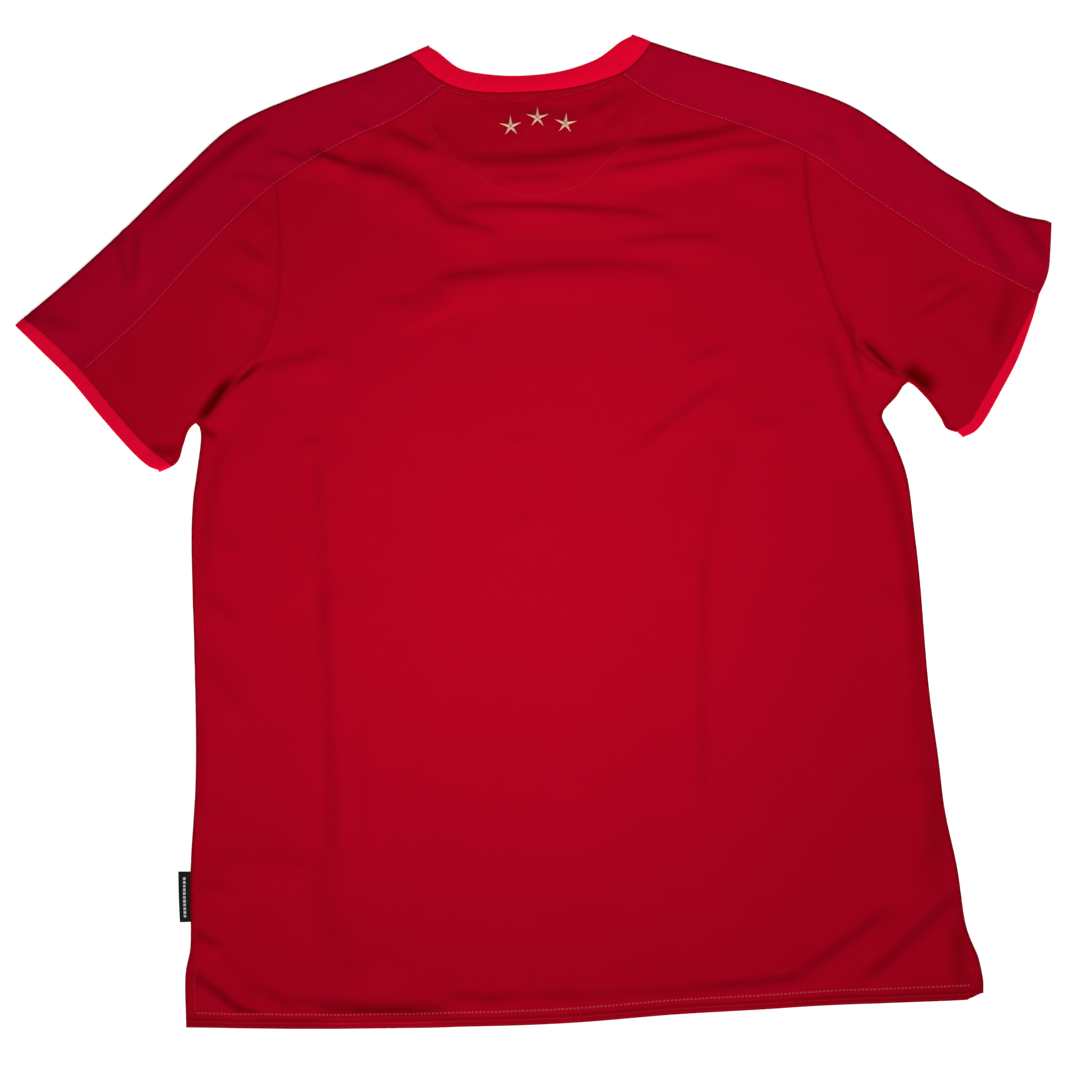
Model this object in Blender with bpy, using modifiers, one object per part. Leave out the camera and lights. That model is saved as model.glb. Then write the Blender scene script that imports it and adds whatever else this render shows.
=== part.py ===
"""A football jersey laid flat with its back up: ten cloth pieces cut and sewn as the real ones are.

Each piece is a grid of points between its seams, which is the middle of its cloth, and a Solidify
modifier gives that grid its wall. The front lies flat on the surface that carries the shirt, the back
lies on the front, and cloth that passes from one layer to the other turns round a half circle at the
shoulder, the underarm and the side. Left and right are the wearer's, with the collar towards +Y.

The tables are in millimetres. Their outlines are the lines round which the cloth turns, so the shirt
reaches FOLD_RADIUS + CLOTH / 2 past them. Free edges and the ends of panels lie on their lines.
"""
import math
from collections import namedtuple

import bmesh
import bpy
import numpy as np

MM = 0.001

# Cloth, layers and seams
CLOTH = 1.0                  # wall of every piece
LAYER_GAP = 0.4              # between the front and the back where they lie on each other
SEAM_GAP = 0.3               # between two pieces along their seam
SLANT = 0.35                 # room for a turned wall's slanted end, as a share of its thickness
SHARPEST = 0.3               # sine of the sharpest corner at which a seam's gap is kept in full
FOLD_RADIUS = 1.5            # middle of the wall where the cloth turns over at an edge
EDGE_REACH = 45.0            # how far from a turned edge the upper layer is still held up by it
CUFF_BAND = 11.0             # width of a sleeve band
NECK_BAND = 17.0             # width of the neck band at the front

# Side vents: the side seams end at VENT_TOP, and the edges are free below VENT_FREE
VENT_TOP = -325.0
VENT_FREE = -346.0

# The end of the right sleeve is turned in: it is held up over the band that lies inside
TUCK_HELD = 16.0             # from the end, as far as the band reaches
TUCK_REACH = 55.0            # from the end, to where the layers lie flat again
TUCK_INSET = 1.4             # of the band's ends inside the sleeve's turned edges

# Cells of the grids
YOKE_CELLS = 6               # along a shoulder panel, from the collar to the armhole
ARM_CELLS = 9                # along a shoulder panel, from the armhole to the cuff
STRAP_CELLS = 4              # across a shoulder panel, on either layer
NECK_CELLS = 12
FRONT_NECK_CELLS = 8
ARMHOLE_CELLS = 9            # from the shoulder panel to the bend of the armhole
FRONT_ARMHOLE_CELLS = 6
GUSSET_CELLS = 5             # from the bend of the armhole to the armpit
SIDE_CELLS = 6               # from the vent's top to the notch
NOTCH_CELLS = 3              # from the notch to the armpit
ARMPIT_CELL = 3.0            # length of the cell next to the armpit, along either edge
ARMPIT_SHIFT = 0.36          # of either panel's corner there, because the walls' ends converge
VENT_CELLS = 2               # along the free edge of a vent, and again to the vent's top
TURN_CELLS = 4               # round a half circle
BAND_CELLS = 2               # across the neck band and the sleeve bands

Spot = namedtuple("Spot", "x y")
Strap = namedtuple("Strap", "fold_x fold_y back_x back_y front_x front_y")
Band = namedtuple("Band", "x y width")
Fold = namedtuple("Fold", "x1 y1 x2 y2 bow height upper lower")
Flank = namedtuple("Flank", "name outward straps armhole bend underarm side sleeve_end")

# Shoulder panels, from the collar to the cuff: the shoulder fold, the back seam and the front seam.
# The armhole seam starts at the row ARMHOLE_ROW.
ARMHOLE_ROW = 3
STRAPS_LEFT = [
    Strap(-98, 366, -69, 343, -88, 332),
    Strap(-131, 352, -105, 317, -122, 311),
    Strap(-180, 334, -152, 294, -162, 289),
    Strap(-235, 308, -202, 262, -202, 262),
    Strap(-277, 268, -238, 229, -238, 229),
    Strap(-316, 227, -270, 194, -270, 194),
    Strap(-357, 187, -306, 153, -306, 153),
    Strap(-395, 153, -348, 113, -348, 113),
]
STRAPS_RIGHT = [
    Strap(91, 376, 65, 355.5, 82, 344),
    Strap(133, 362, 99, 331, 117, 325),
    Strap(184, 347, 158, 310, 168, 305),
    Strap(243, 326, 212, 287, 212, 287),
    Strap(282, 300, 255, 256, 255, 256),
    Strap(317, 272, 305, 222, 305, 222),
    Strap(346, 254, 335, 201, 335, 201),
    Strap(358, 244, 350, 193, 350, 193),
    Strap(379, 234, 369, 183, 364, 185),
    Strap(403, 230, 390, 172, 378, 177),
]

# Armhole seams, from the shoulder panel down to the armpit, and where they bend towards it
ARMHOLE_LEFT = [Spot(-202, 262), Spot(-199, 217), Spot(-199, 174), Spot(-208, 136), Spot(-227, 106),
                Spot(-261, 73.3)]
ARMHOLE_RIGHT = [Spot(212, 287), Spot(213, 255), Spot(219, 213), Spot(232, 169), Spot(246, 137),
                 Spot(264, 117), Spot(288, 105.5)]
BEND_LEFT = Spot(-208, 136)
BEND_RIGHT = Spot(246, 137)

# Underarm edges, from the cuff to the armpit, and side edges, from the armpit to the hem. The spot
# NOTCH_ROW of a side is the deepest one of the notch below the armpit.
NOTCH_ROW = 2
UNDERARM_LEFT = [Spot(-280, 39), Spot(-275, 44), Spot(-272, 55), Spot(-268, 67), Spot(-261, 73.3)]
UNDERARM_RIGHT = [Spot(325, 66), Spot(318, 69), Spot(314, 77), Spot(303, 93), Spot(288, 105.5)]
SIDE_LEFT = [Spot(-261, 73.3), Spot(-256, 68), Spot(-255, 56), Spot(-258, 28), Spot(-260, 8),
             Spot(-260, -30), Spot(-255, -129), Spot(-253, -201), Spot(-255, -256), Spot(-255, -285),
             Spot(-254, -325), Spot(-258, -346), Spot(-256.5, -383)]
SIDE_RIGHT = [Spot(288, 105.5), Spot(277, 93), Spot(265.5, 77.5), Spot(275, 56), Spot(284, 28),
              Spot(288, -10), Spot(291.5, -50), Spot(296, -129), Spot(302, -185), Spot(306, -225),
              Spot(314, -267), Spot(319, -308), Spot(328, -333), Spot(331.5, -347), Spot(331.5, -358)]
HEM = [Spot(-256.5, -383), Spot(-160, -384), Spot(-32, -382), Spot(36, -379), Spot(104, -373.5),
       Spot(167, -370), Spot(218, -367), Spot(311, -363.5), Spot(322, -362), Spot(331.5, -358)]

# Free edges of the sleeve bands, from the shoulder to the underarm, with the width of band that shows.
# Less than CUFF_BAND is a band that is turned in, and less than nothing is one behind the panel's end.
SLEEVE_END_LEFT = [Band(-401.5, 147, 11), Band(-384, 130, 11), Band(-359, 105.5, 11), Band(-333.5, 75.5, 11),
                   Band(-310, 49.5, 11), Band(-297, 38, 11), Band(-289, 35, 11)]
SLEEVE_END_RIGHT = [Band(395.5, 220, -6), Band(395, 205, -6), Band(393.5, 189, -5), Band(392, 174, 0),
                    Band(385, 151, 5), Band(373.5, 122, 8), Band(360, 97, 9), Band(347, 75, 9),
                    Band(332, 63, 8)]

# Neck seam at the back and at the front, from left to right, with the width of the band
NECK_BACK = [Band(-98, 366, 17), Band(-92, 361, 17), Band(-86, 354, 19), Band(-69, 343, 18.5),
             Band(-60, 339.5, 17), Band(-39, 336.5, 15), Band(-11, 336.5, 13.5), Band(15, 339.5, 12.5),
             Band(34, 343, 13), Band(51, 349, 13), Band(65, 355.5, 13.5), Band(77, 363, 15),
             Band(84, 369, 16), Band(91, 376, 15)]
NECK_FRONT = [Spot(-98, 366), Spot(-94, 350), Spot(-88, 332), Spot(-74, 302), Spot(-46, 277), Spot(-4, 268),
              Spot(40, 282), Spot(70, 313), Spot(82, 344), Spot(87, 360), Spot(91, 376)]
COLLAR_TIP_LEFT = Spot(-83, 373)
COLLAR_TIP_RIGHT = Spot(76, 382)

# Largest folds of the back: a ridge from one spot to the other, bowed sideways, with the reach of its
# two flanks towards the collar and towards the hem
FOLDS = [
    Fold(-150, 272, 178, 292, -34, 2.8, 18, 26),
    Fold(-62, 222, 92, 228, 6, 2.2, 16, 22),
    Fold(-105, 182, 150, 196, 16, 3.2, 18, 32),
    Fold(-170, 285, -40, 240, -6, 2.4, 18, 22),
    Fold(236, 100, 276, -150, 26, 3.2, 38, 34),
    Fold(-180, -322, 245, -300, -22, 2.6, 40, 34),
]

# Side label: a woven tab caught in the left side seam
LABEL_CELLS = 3              # along the seam
LABEL_TOP = -270.0
LABEL_HEIGHT = 35.5
LABEL_REACH = 7.8
LABEL_TILT = 1.0             # how much lower its free edge lies than the seam
LABEL_CLEARANCE = 0.7        # from the side's curve to the tab's straight edge

# Colours, linear red, green and blue
CRIMSON = (0.42, 0.001, 0.014)
DEEP_CRIMSON = (0.33, 0.001, 0.012)
BRIGHT_RED = (0.72, 0.001, 0.018)
BLACK = (0.012, 0.012, 0.013)
ROUGHNESS = 0.75

WELD = 0.001                 # points of neighbouring grids nearer than this are one point
LOW = CLOTH / 2              # middle of the lower layer's wall
FLAT = LOW + CLOTH + LAYER_GAP
FREE_RADIUS = (FLAT - LOW) / 2


# ---------------------------------------------------------------- plan curves

def smooth_run(spots, steps=24):
    """Points along a Catmull-Rom curve that passes through every spot of the run."""
    knots = np.array([spot[:2] for spot in spots], dtype=float)
    knots = np.vstack([2 * knots[0] - knots[1], knots, 2 * knots[-1] - knots[-2]])
    before, start, end, after = knots[:-3], knots[1:-2], knots[2:-1], knots[3:]
    t = np.linspace(0, 1, steps, endpoint=False)[:, None, None]
    curve = 0.5 * (2 * start + (end - before) * t
                   + (2 * before - 5 * start + 4 * end - after) * t ** 2
                   + (3 * start - before - 3 * end + after) * t ** 3)
    return np.vstack([curve.transpose(1, 0, 2).reshape(-1, 2), knots[-2]])


class Line:
    """A plan curve through one or more smooth runs that meet at corners, measured along its length."""

    def __init__(self, *runs):
        self.corner = runs[-1][0]
        self.points = np.vstack([smooth_run(run) for run in runs])
        steps = np.linalg.norm(np.diff(self.points, axis=0), axis=1)
        self.lengths = np.concatenate([[0.0], np.cumsum(steps)])

    def at(self, lengths):
        """Points at these lengths along the curve."""
        return np.stack([np.interp(lengths, self.lengths, self.points[:, axis]) for axis in (0, 1)], axis=-1)

    def where(self, spot):
        """Length at which the curve passes nearest to the spot."""
        return self.lengths[np.argmin(np.linalg.norm(self.points - np.array(spot[:2]), axis=1))]

    def between(self, start, end, cells):
        """Lengths of evenly spaced points from one spot of the curve to another."""
        return np.linspace(self.where(start), self.where(end), cells + 1)

    def sideways(self, lengths, sense, window=3.0):
        """Unit normals, to the left of the way along the curve for a sense of 1, or to the right for -1."""
        ahead = self.at(lengths + window) - self.at(lengths - window)
        ahead /= np.linalg.norm(ahead, axis=-1, keepdims=True)
        return sense * np.stack([-ahead[..., 1], ahead[..., 0]], axis=-1)


def ease(value):
    """Smooth step from 0 to 1."""
    t = np.clip(value, 0, 1)
    return t * t * (3 - 2 * t)


def moved_line(rows, sense, widths):
    """The curve through the rows, moved sideways by each row's width."""
    middle = Line(rows)
    lengths = np.array([middle.where(row) for row in rows])
    spots = middle.at(lengths) + middle.sideways(lengths, sense) * np.array(widths)[:, None]
    return [Spot(*spot) for spot in spots]


# ---------------------------------------------------------------- the two halves of the shirt

LEFT = Flank("left", -1, STRAPS_LEFT, ARMHOLE_LEFT, BEND_LEFT, UNDERARM_LEFT, SIDE_LEFT, SLEEVE_END_LEFT)
RIGHT = Flank("right", 1, STRAPS_RIGHT, ARMHOLE_RIGHT, BEND_RIGHT, UNDERARM_RIGHT, SIDE_RIGHT,
              SLEEVE_END_RIGHT)


def turned_in(flank):
    """Whether the band of this sleeve lies inside the sleeve's end."""
    return flank.sleeve_end[0].width < CUFF_BAND


def shoulder_fold(flank):
    """The line round which the shoulder panel and both bands turn, from the collar's tip to the cuff's."""
    tip = COLLAR_TIP_LEFT if flank is LEFT else COLLAR_TIP_RIGHT
    end = flank.sleeve_end[0]
    folds = [Spot(row.fold_x, row.fold_y) for row in flank.straps]
    return Line([tip] + folds + ([] if turned_in(flank) else [Spot(end.x, end.y)]))


def lower_fold(flank):
    """The line round which the underarm and the side turn, from the cuff's tip to the hem."""
    end = flank.sleeve_end[-1]
    return Line([Spot(end.x, end.y)] + flank.underarm + flank.side[1:])


SHOULDER_FOLD = {flank.name: shoulder_fold(flank) for flank in (LEFT, RIGHT)}
LOWER_FOLD = {flank.name: lower_fold(flank) for flank in (LEFT, RIGHT)}
TURNED = np.vstack([line.points for line in (*SHOULDER_FOLD.values(), *LOWER_FOLD.values())])
TUCKED = Line(SLEEVE_END_RIGHT).points


# ---------------------------------------------------------------- height of the upper layer

def sewn(y):
    """1 where the sides are sewn together, falling to 0 at the free edges of the vents."""
    return ease((y - VENT_FREE) / (VENT_TOP - VENT_FREE))


def turn_radius(y):
    """Radius of the turned edge, which flattens out towards the vents."""
    return FREE_RADIUS + (FOLD_RADIUS - FREE_RADIUS) * sewn(y)


def distance(plan, points):
    """Distance of each plan point from the nearest of the points, of which every fourth is enough."""
    return np.min([np.linalg.norm(plan - spot, axis=-1) for spot in points[::4]], axis=0)


def fold_height(plan):
    """Sum of the ridges: a cosine hump across each one, wider on one flank, and sin-squared along it."""
    total = np.zeros(plan.shape[:-1])
    for fold in FOLDS:
        start, end = np.array([fold.x1, fold.y1]), np.array([fold.x2, fold.y2])
        length = np.linalg.norm(end - start)
        along = (end - start) / length
        upward = np.array([-along[1], along[0]])
        s = np.clip((plan - start) @ along / length, 0, 1)
        off = (plan - start) @ upward - fold.bow * 4 * s * (1 - s)
        across = np.clip(np.where(off > 0, off / fold.upper, -off / fold.lower), 0, 1)
        total += fold.height * np.sin(math.pi * s) ** 2 * (0.5 + 0.5 * np.cos(math.pi * across))
    return total


def layer_height(plan):
    """Middle of the upper layer: flat on the lower one, held up near a turned edge and along the folds."""
    gap = distance(plan, TURNED)
    held = 2 * (turn_radius(plan[..., 1]) - FREE_RADIUS) * np.exp(-(gap / EDGE_REACH) ** 2)
    tuck = (TUCK_REACH - distance(plan, TUCKED)) / (TUCK_REACH - TUCK_HELD)
    held = np.maximum(held, 2 * (FOLD_RADIUS - FREE_RADIUS) * ease(tuck))
    return FLAT + held + fold_height(plan) * ease(gap / EDGE_REACH)


def upper(plan):
    """Plan points raised to the upper layer."""
    return np.dstack([plan, layer_height(plan)])


def lower(plan):
    """Plan points on the lower layer."""
    return np.dstack([plan, np.full(plan.shape[:-1], LOW)])


# ---------------------------------------------------------------- surfaces

def shares(one, other):
    """Shares of the length at which two opposite borders have their points, taken as a mean."""
    parts = []
    for border in (one, other):
        steps = np.linalg.norm(np.diff(border, axis=0), axis=1)
        parts.append(np.concatenate([[0.0], np.cumsum(steps)]) / steps.sum())
    return (parts[0] + parts[1]) / 2


def patch(south, north, west, east):
    """Coons patch: the blend of both pairs of opposite borders less the blend of the four corners.

    The corners are the ends of the south and north borders, which west and east meet.
    """
    west, east = west.copy(), east.copy()
    west[0], west[-1] = south[0], north[0]
    east[0], east[-1] = south[-1], north[-1]
    u = shares(south, north)[None, :, None]
    v = shares(west, east)[:, None, None]
    rows = (1 - v) * south[None] + v * north[None]
    columns = (1 - u) * west[:, None] + u * east[:, None]
    corners = ((1 - v) * ((1 - u) * south[0] + u * south[-1]) + v * ((1 - u) * north[0] + u * north[-1]))
    return rows + columns - corners


def turned_over(top, bottom, out_top, out_bottom, cells=TURN_CELLS):
    """Rows round a half circle that joins the end of the upper layer to the end of the lower one.

    The circle stands on the line between the two ends and bulges outward, and its radius is half of
    their difference in height.
    """
    rows = []
    for angle in np.linspace(0, math.pi, cells + 1)[1:-1]:
        share = angle / math.pi
        middle = (1 - share) * top + share * bottom
        out = (1 - share) * out_top + share * out_bottom
        radius = (top[:, 2] - bottom[:, 2]) / 2
        centre = (top[:, 2] + bottom[:, 2]) / 2
        plan = middle[:, :2] + out * (radius * math.sin(angle))[:, None]
        rows.append(np.column_stack([plan, centre + radius * math.cos(angle)]))
    return np.array(rows)


def side_flange(border, out, height_sign, cells=TURN_CELLS // 2):
    """Rows that turn a panel's side edge towards the other layer as far as the seam.

    Above the vent each row is a part of a quarter circle that stops short of the middle by half a
    seam gap and what the wall's slant takes; below it the turn opens until the edge runs out flat.
    """
    rows = [border]
    radius = turn_radius(border[:, 1])
    closed = sewn(border[:, 1])
    full = np.arccos((SEAM_GAP / 2 + CLOTH * SLANT) / radius)
    for step in range(1, cells + 1):
        angle = full * closed * step / cells
        reach = radius * np.sin(angle) + (1 - closed) * (radius + CLOTH / 2) * step / cells
        drop = radius * (1 - np.cos(angle))
        height = border[:, 2] - height_sign * drop
        rows.append(np.column_stack([border[:, :2] + out * reach[:, None], height]))
    return np.array(rows)


def drawn_back(grid, borders, gap=SEAM_GAP / 2):
    """The grid with the named borders moved inward by the gap, square to the seam.

    A border is its side's name with the first and the last of its points that move.
    """
    grid = grid.copy()
    turns = {"south": lambda g: g, "north": lambda g: g[::-1],
             "west": lambda g: g.transpose(1, 0, 2), "east": lambda g: g.transpose(1, 0, 2)[::-1]}
    for name, first, last in borders:
        view = turns[name](grid)
        edge, inner = view[0], view[1]
        inward = inner - edge
        inward /= np.linalg.norm(inward, axis=1, keepdims=True)
        along = np.gradient(edge, axis=0)
        along /= np.linalg.norm(along, axis=1, keepdims=True)
        slant = np.linalg.norm(np.cross(inward, along), axis=1)
        shift = inward * (gap / np.maximum(slant, SHARPEST))[:, None]
        rows = slice(first, last)
        edge[rows] += shift[rows]
    return grid


# ---------------------------------------------------------------- seams

def neck_curves():
    """Seam and free edge of the neck band at the back, and at the front."""
    back_edge = moved_line(NECK_BACK, 1, [row.width for row in NECK_BACK])
    front_edge = moved_line(NECK_FRONT, 1, [NECK_BAND] * len(NECK_FRONT))
    for edge in (back_edge, front_edge):
        edge[0], edge[-1] = COLLAR_TIP_LEFT, COLLAR_TIP_RIGHT
    return Line(NECK_BACK), Line(back_edge), Line(NECK_FRONT), Line(front_edge)


BACK_NECK, BACK_NECK_EDGE, FRONT_NECK, FRONT_NECK_EDGE = neck_curves()


def strap_seams(flank, layer):
    """A shoulder panel's seam on one layer, as the points of its yoke part and of its sleeve part."""
    columns = {"back": lambda row: Spot(row.back_x, row.back_y),
               "front": lambda row: Spot(row.front_x, row.front_y),
               "fold": lambda row: Spot(row.fold_x, row.fold_y)}
    spots = [columns[layer](row) for row in flank.straps]
    line = SHOULDER_FOLD[flank.name] if layer == "fold" else Line(spots)
    armhole = spots[ARMHOLE_ROW]
    yoke = line.between(spots[0], armhole, YOKE_CELLS)
    arm = line.between(armhole, spots[-1], ARM_CELLS)
    return line, np.concatenate([yoke, arm[1:]])


def armhole_points(flank, layer):
    """The armhole seam's points on one layer: down to its bend, and from there to the armpit."""
    line = Line(flank.armhole)
    cells = ARMHOLE_CELLS if layer == "back" else FRONT_ARMHOLE_CELLS
    return (line.at(line.between(flank.armhole[0], flank.bend, cells)),
            line.at(line.between(flank.bend, flank.armhole[-1], GUSSET_CELLS)))


def neck_share(flank, line, strap_spot):
    """Points of the neck seam between a shoulder panel's seam and its fold."""
    fold = flank.straps[0]
    return line.at(line.between(strap_spot, Spot(fold.fold_x, fold.fold_y), STRAP_CELLS))


def side_lengths(flank):
    """Lengths along the lower fold at the side's points: the vent, the side and the notch by the armpit."""
    edge = LOWER_FOLD[flank.name]
    hem = flank.side[-1]
    notch = flank.side[NOTCH_ROW]
    stops = [hem, Spot(hem.x, VENT_FREE), Spot(hem.x, VENT_TOP), notch, flank.side[0]]
    cells = [VENT_CELLS, VENT_CELLS, SIDE_CELLS, NOTCH_CELLS]
    runs = [edge.between(start, end, count)[1:] for start, end, count in zip(stops, stops[1:], cells)]
    lengths = np.concatenate([[edge.lengths[-1]], *runs])
    lengths[-2] = lengths[-1] + ARMPIT_CELL
    return lengths


def sleeve_end_curves(flank):
    """Three curves across a sleeve's end: the band's free edge, the panels' end above and the one below.

    The one below is where the band is sewn on, also where the end is turned in.
    """
    rows = flank.sleeve_end
    above = moved_line(rows, -flank.outward, [row.width for row in rows])
    below = moved_line(rows, -flank.outward, [CUFF_BAND] * len(rows))
    above[0] = Spot(flank.straps[-1].fold_x, flank.straps[-1].fold_y)
    above[-1] = below[-1] = flank.underarm[0]
    if not turned_in(flank):
        return Line(rows), Line(above), Line(above)
    fold = SHOULDER_FOLD[flank.name]
    return Line(rows), Line(above), Line([Spot(*fold.at(fold.where(below[0]))), below[0]], below)


def armpit_shift(flank):
    """The way that the body's corner moves along the lower fold at the armpit; the sleeve's moves back."""
    edge = LOWER_FOLD[flank.name]
    armpit = edge.where(flank.armhole[-1])
    return edge.at(armpit + ARMPIT_SHIFT) - edge.at(armpit)


# ---------------------------------------------------------------- pieces

def body_panel(layer):
    """The back or the front: one patch from the hem to the neck, with its sides turned to the seam."""
    is_back = layer == "back"
    neck = BACK_NECK if is_back else FRONT_NECK
    neck_cells = NECK_CELLS if is_back else FRONT_NECK_CELLS
    flanks, starts, outs = [], [], []
    for flank in (LEFT, RIGHT):
        line, lengths = strap_seams(flank, layer)
        starts.append(line.at(lengths[:YOKE_CELLS + 1]))
        edge = LOWER_FOLD[flank.name]
        side = side_lengths(flank)
        upper_arm, gusset = armhole_points(flank, layer)
        flanks.append(np.vstack([edge.at(side), gusset[-2::-1], upper_arm[-2::-1]]))
        outs.append(edge.sideways(side, flank.outward))
    neck_points = neck.at(neck.between(starts[0][0], starts[1][0], neck_cells))
    north = np.vstack([starts[0][::-1], neck_points[1:-1], starts[1]])
    hem = Line(HEM)
    south = hem.at(hem.lengths[-1] * shares(north, north))
    plan = patch(south, north, *flanks)
    grid = upper(plan) if is_back else lower(plan)
    armpit = len(outs[0]) - 1
    grid = drawn_back(grid, [("north", 0, None), ("west", armpit + 1, None), ("east", armpit + 1, None)])
    for column, flank in ((0, LEFT), (-1, RIGHT)):
        grid[armpit, column, :2] += armpit_shift(flank)
    sign = 1 if is_back else -1
    left = side_flange(grid[:armpit + 1, 0], outs[0], sign)
    right = side_flange(grid[:armpit + 1, -1], outs[1], sign)
    return [grid, left.transpose(1, 0, 2)[:, ::-1], right.transpose(1, 0, 2)]


def shoulder_panel(flank):
    """A strip from the collar to the cuff, folded over the shoulder from its back to its front seam."""
    back_line, back_lengths = strap_seams(flank, "back")
    front_line, front_lengths = strap_seams(flank, "front")
    fold_line, fold_lengths = strap_seams(flank, "fold")
    _, end_above, end_below = sleeve_end_curves(flank)
    first, last = flank.straps[0], flank.straps[-1]
    fold_end = end_below.at(0.0)
    fold_low = fold_line.between(Spot(first.fold_x, first.fold_y), Spot(*fold_end), len(fold_lengths) - 1)
    above = patch(back_line.at(back_lengths), fold_line.at(fold_lengths),
                  neck_share(flank, BACK_NECK, Spot(first.back_x, first.back_y)),
                  end_above.at(end_above.between(Spot(last.back_x, last.back_y),
                                                 Spot(last.fold_x, last.fold_y), STRAP_CELLS)))
    below = patch(fold_line.at(fold_low), front_line.at(front_lengths),
                  neck_share(flank, FRONT_NECK, Spot(first.front_x, first.front_y))[::-1],
                  end_below.at(end_below.between(Spot(*fold_end), Spot(last.front_x, last.front_y),
                                                 STRAP_CELLS)))
    top, bottom = upper(above), lower(below)
    turn = turned_over(top[-1], bottom[0], fold_line.sideways(fold_lengths, flank.outward),
                       fold_line.sideways(fold_low, flank.outward))
    grid = np.vstack([top, turn, bottom])
    return [drawn_back(grid, [(name, 0, None) for name in ("south", "north", "west", "east")])]


def sleeve(flank):
    """The rest of a sleeve: from the back seam round the underarm to the front seam.

    Each layer is one patch between the shoulder panel's seam and the way from the armhole's bend
    through the armpit to the cuff, and the turn joins the layers between the armpit and the cuff.
    """
    _, end_above, end_below = sleeve_end_curves(flank)
    edge = LOWER_FOLD[flank.name]
    under = edge.between(flank.armhole[-1], flank.underarm[0], ARM_CELLS - GUSSET_CELLS)
    under[1] = under[0] - ARMPIT_CELL
    corner = flank.straps[-1]
    layers = []
    for layer, cells, end, start in (
            ("back", ARMHOLE_CELLS, end_above, Spot(corner.back_x, corner.back_y)),
            ("front", FRONT_ARMHOLE_CELLS, end_below, Spot(corner.front_x, corner.front_y))):
        line, lengths = strap_seams(flank, layer)
        upper_arm, gusset = armhole_points(flank, layer)
        plan = patch(line.at(lengths[YOKE_CELLS:]), np.vstack([gusset, edge.at(under[1:])]), upper_arm,
                     end.at(end.between(start, flank.underarm[0], cells)))
        grid = upper(plan) if layer == "back" else lower(plan)
        seams = [("south", 0, None), ("west", 0, None), ("east", 0, None), ("north", 0, GUSSET_CELLS)]
        grid = drawn_back(grid, seams)
        grid[-1, GUSSET_CELLS, :2] -= armpit_shift(flank)
        layers.append(grid)
    top, bottom = (grid[-1, GUSSET_CELLS:] for grid in layers)
    out = edge.sideways(under, flank.outward)
    turn = np.concatenate([top[None], turned_over(top, bottom, out, out), bottom[None]])
    return layers + [turn]


def ring(top, bottom, out_start, out_end):
    """A flattened band: its upper and lower strips joined by a half turn at either end."""
    start = turned_over(bottom[0] * [1, 1, -1], top[0] * [1, 1, -1], out_start, out_start)
    start[..., 2] *= -1
    end = turned_over(top[-1], bottom[-1], out_end, out_end)
    return np.vstack([top, end, bottom[::-1], start])


def strip(inner, outer):
    """Cross rows of a band's strip, from the points of its seam to those of its free edge."""
    share = np.linspace(0, 1, BAND_CELLS + 1)[None, :, None]
    return (1 - share) * inner[:, None] + share * outer[:, None]


def cuff(flank):
    """A sleeve band: a flattened ring between its seam and its free edge.

    One that is turned in lies flat inside the sleeve's end, clear of the sleeve's turned edges.
    """
    edge, above, below = sleeve_end_curves(flank)
    corner = flank.straps[-1]
    inside = turned_in(flank)
    inset = TUCK_INSET if inside else 0.0
    strips = []
    for seam, split, cells in ((below if inside else above, (corner.back_x, corner.back_y), ARMHOLE_CELLS),
                               (below, (corner.front_x, corner.front_y), FRONT_ARMHOLE_CELLS)):
        start = seam.where(seam.corner)
        end = seam.lengths[-1]
        middle = seam.where(split)
        strap = np.linspace(start + inset, middle, STRAP_CELLS + 1)
        rest = np.linspace(middle, end - inset, cells + 1)
        lengths = np.concatenate([strap, rest[1:]])
        outer = edge.at(edge.lengths[-1] * (lengths - start) / (end - start))
        strips.append(strip(seam.at(lengths), outer))
    shoulder, under = SHOULDER_FOLD[flank.name], LOWER_FOLD[flank.name]
    out_start = shoulder.sideways(np.array([shoulder.lengths[-1]]), flank.outward)
    out_end = under.sideways(np.array([0.0]), flank.outward)
    top = upper(strips[0])
    if inside:
        top[..., 2] = FLAT
    grid = ring(top, lower(strips[1]), out_start, out_end)
    return [drawn_back(grid, [("west", 0, None)], SEAM_GAP if inside else SEAM_GAP / 2)]


def collar():
    """The neck band: a flattened ring, shallow at the back and deep at the front."""
    strips = []
    for seam, edge, layer, cells in ((BACK_NECK, BACK_NECK_EDGE, "back", NECK_CELLS),
                                     (FRONT_NECK, FRONT_NECK_EDGE, "front", FRONT_NECK_CELLS)):
        starts = [strap_seams(flank, layer)[0].at(0.0) for flank in (LEFT, RIGHT)]
        left = seam.between(seam.at(0.0), starts[0], STRAP_CELLS)
        middle = seam.between(starts[0], starts[1], cells)
        right = seam.between(starts[1], seam.at(seam.lengths[-1]), STRAP_CELLS)
        lengths = np.concatenate([left, middle[1:], right[1:]])
        strips.append(strip(seam.at(lengths), edge.at(edge.lengths[-1] * lengths / seam.lengths[-1])))
    outs = []
    for flank in (LEFT, RIGHT):
        fold = SHOULDER_FOLD[flank.name]
        seam_end = fold.where((flank.straps[0].fold_x, flank.straps[0].fold_y))
        outs.append(fold.sideways(np.array([seam_end]), flank.outward))
    grid = ring(upper(strips[0]), lower(strips[1]), outs[0], outs[1])
    return [drawn_back(grid, [("west", 0, None)])]


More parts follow.
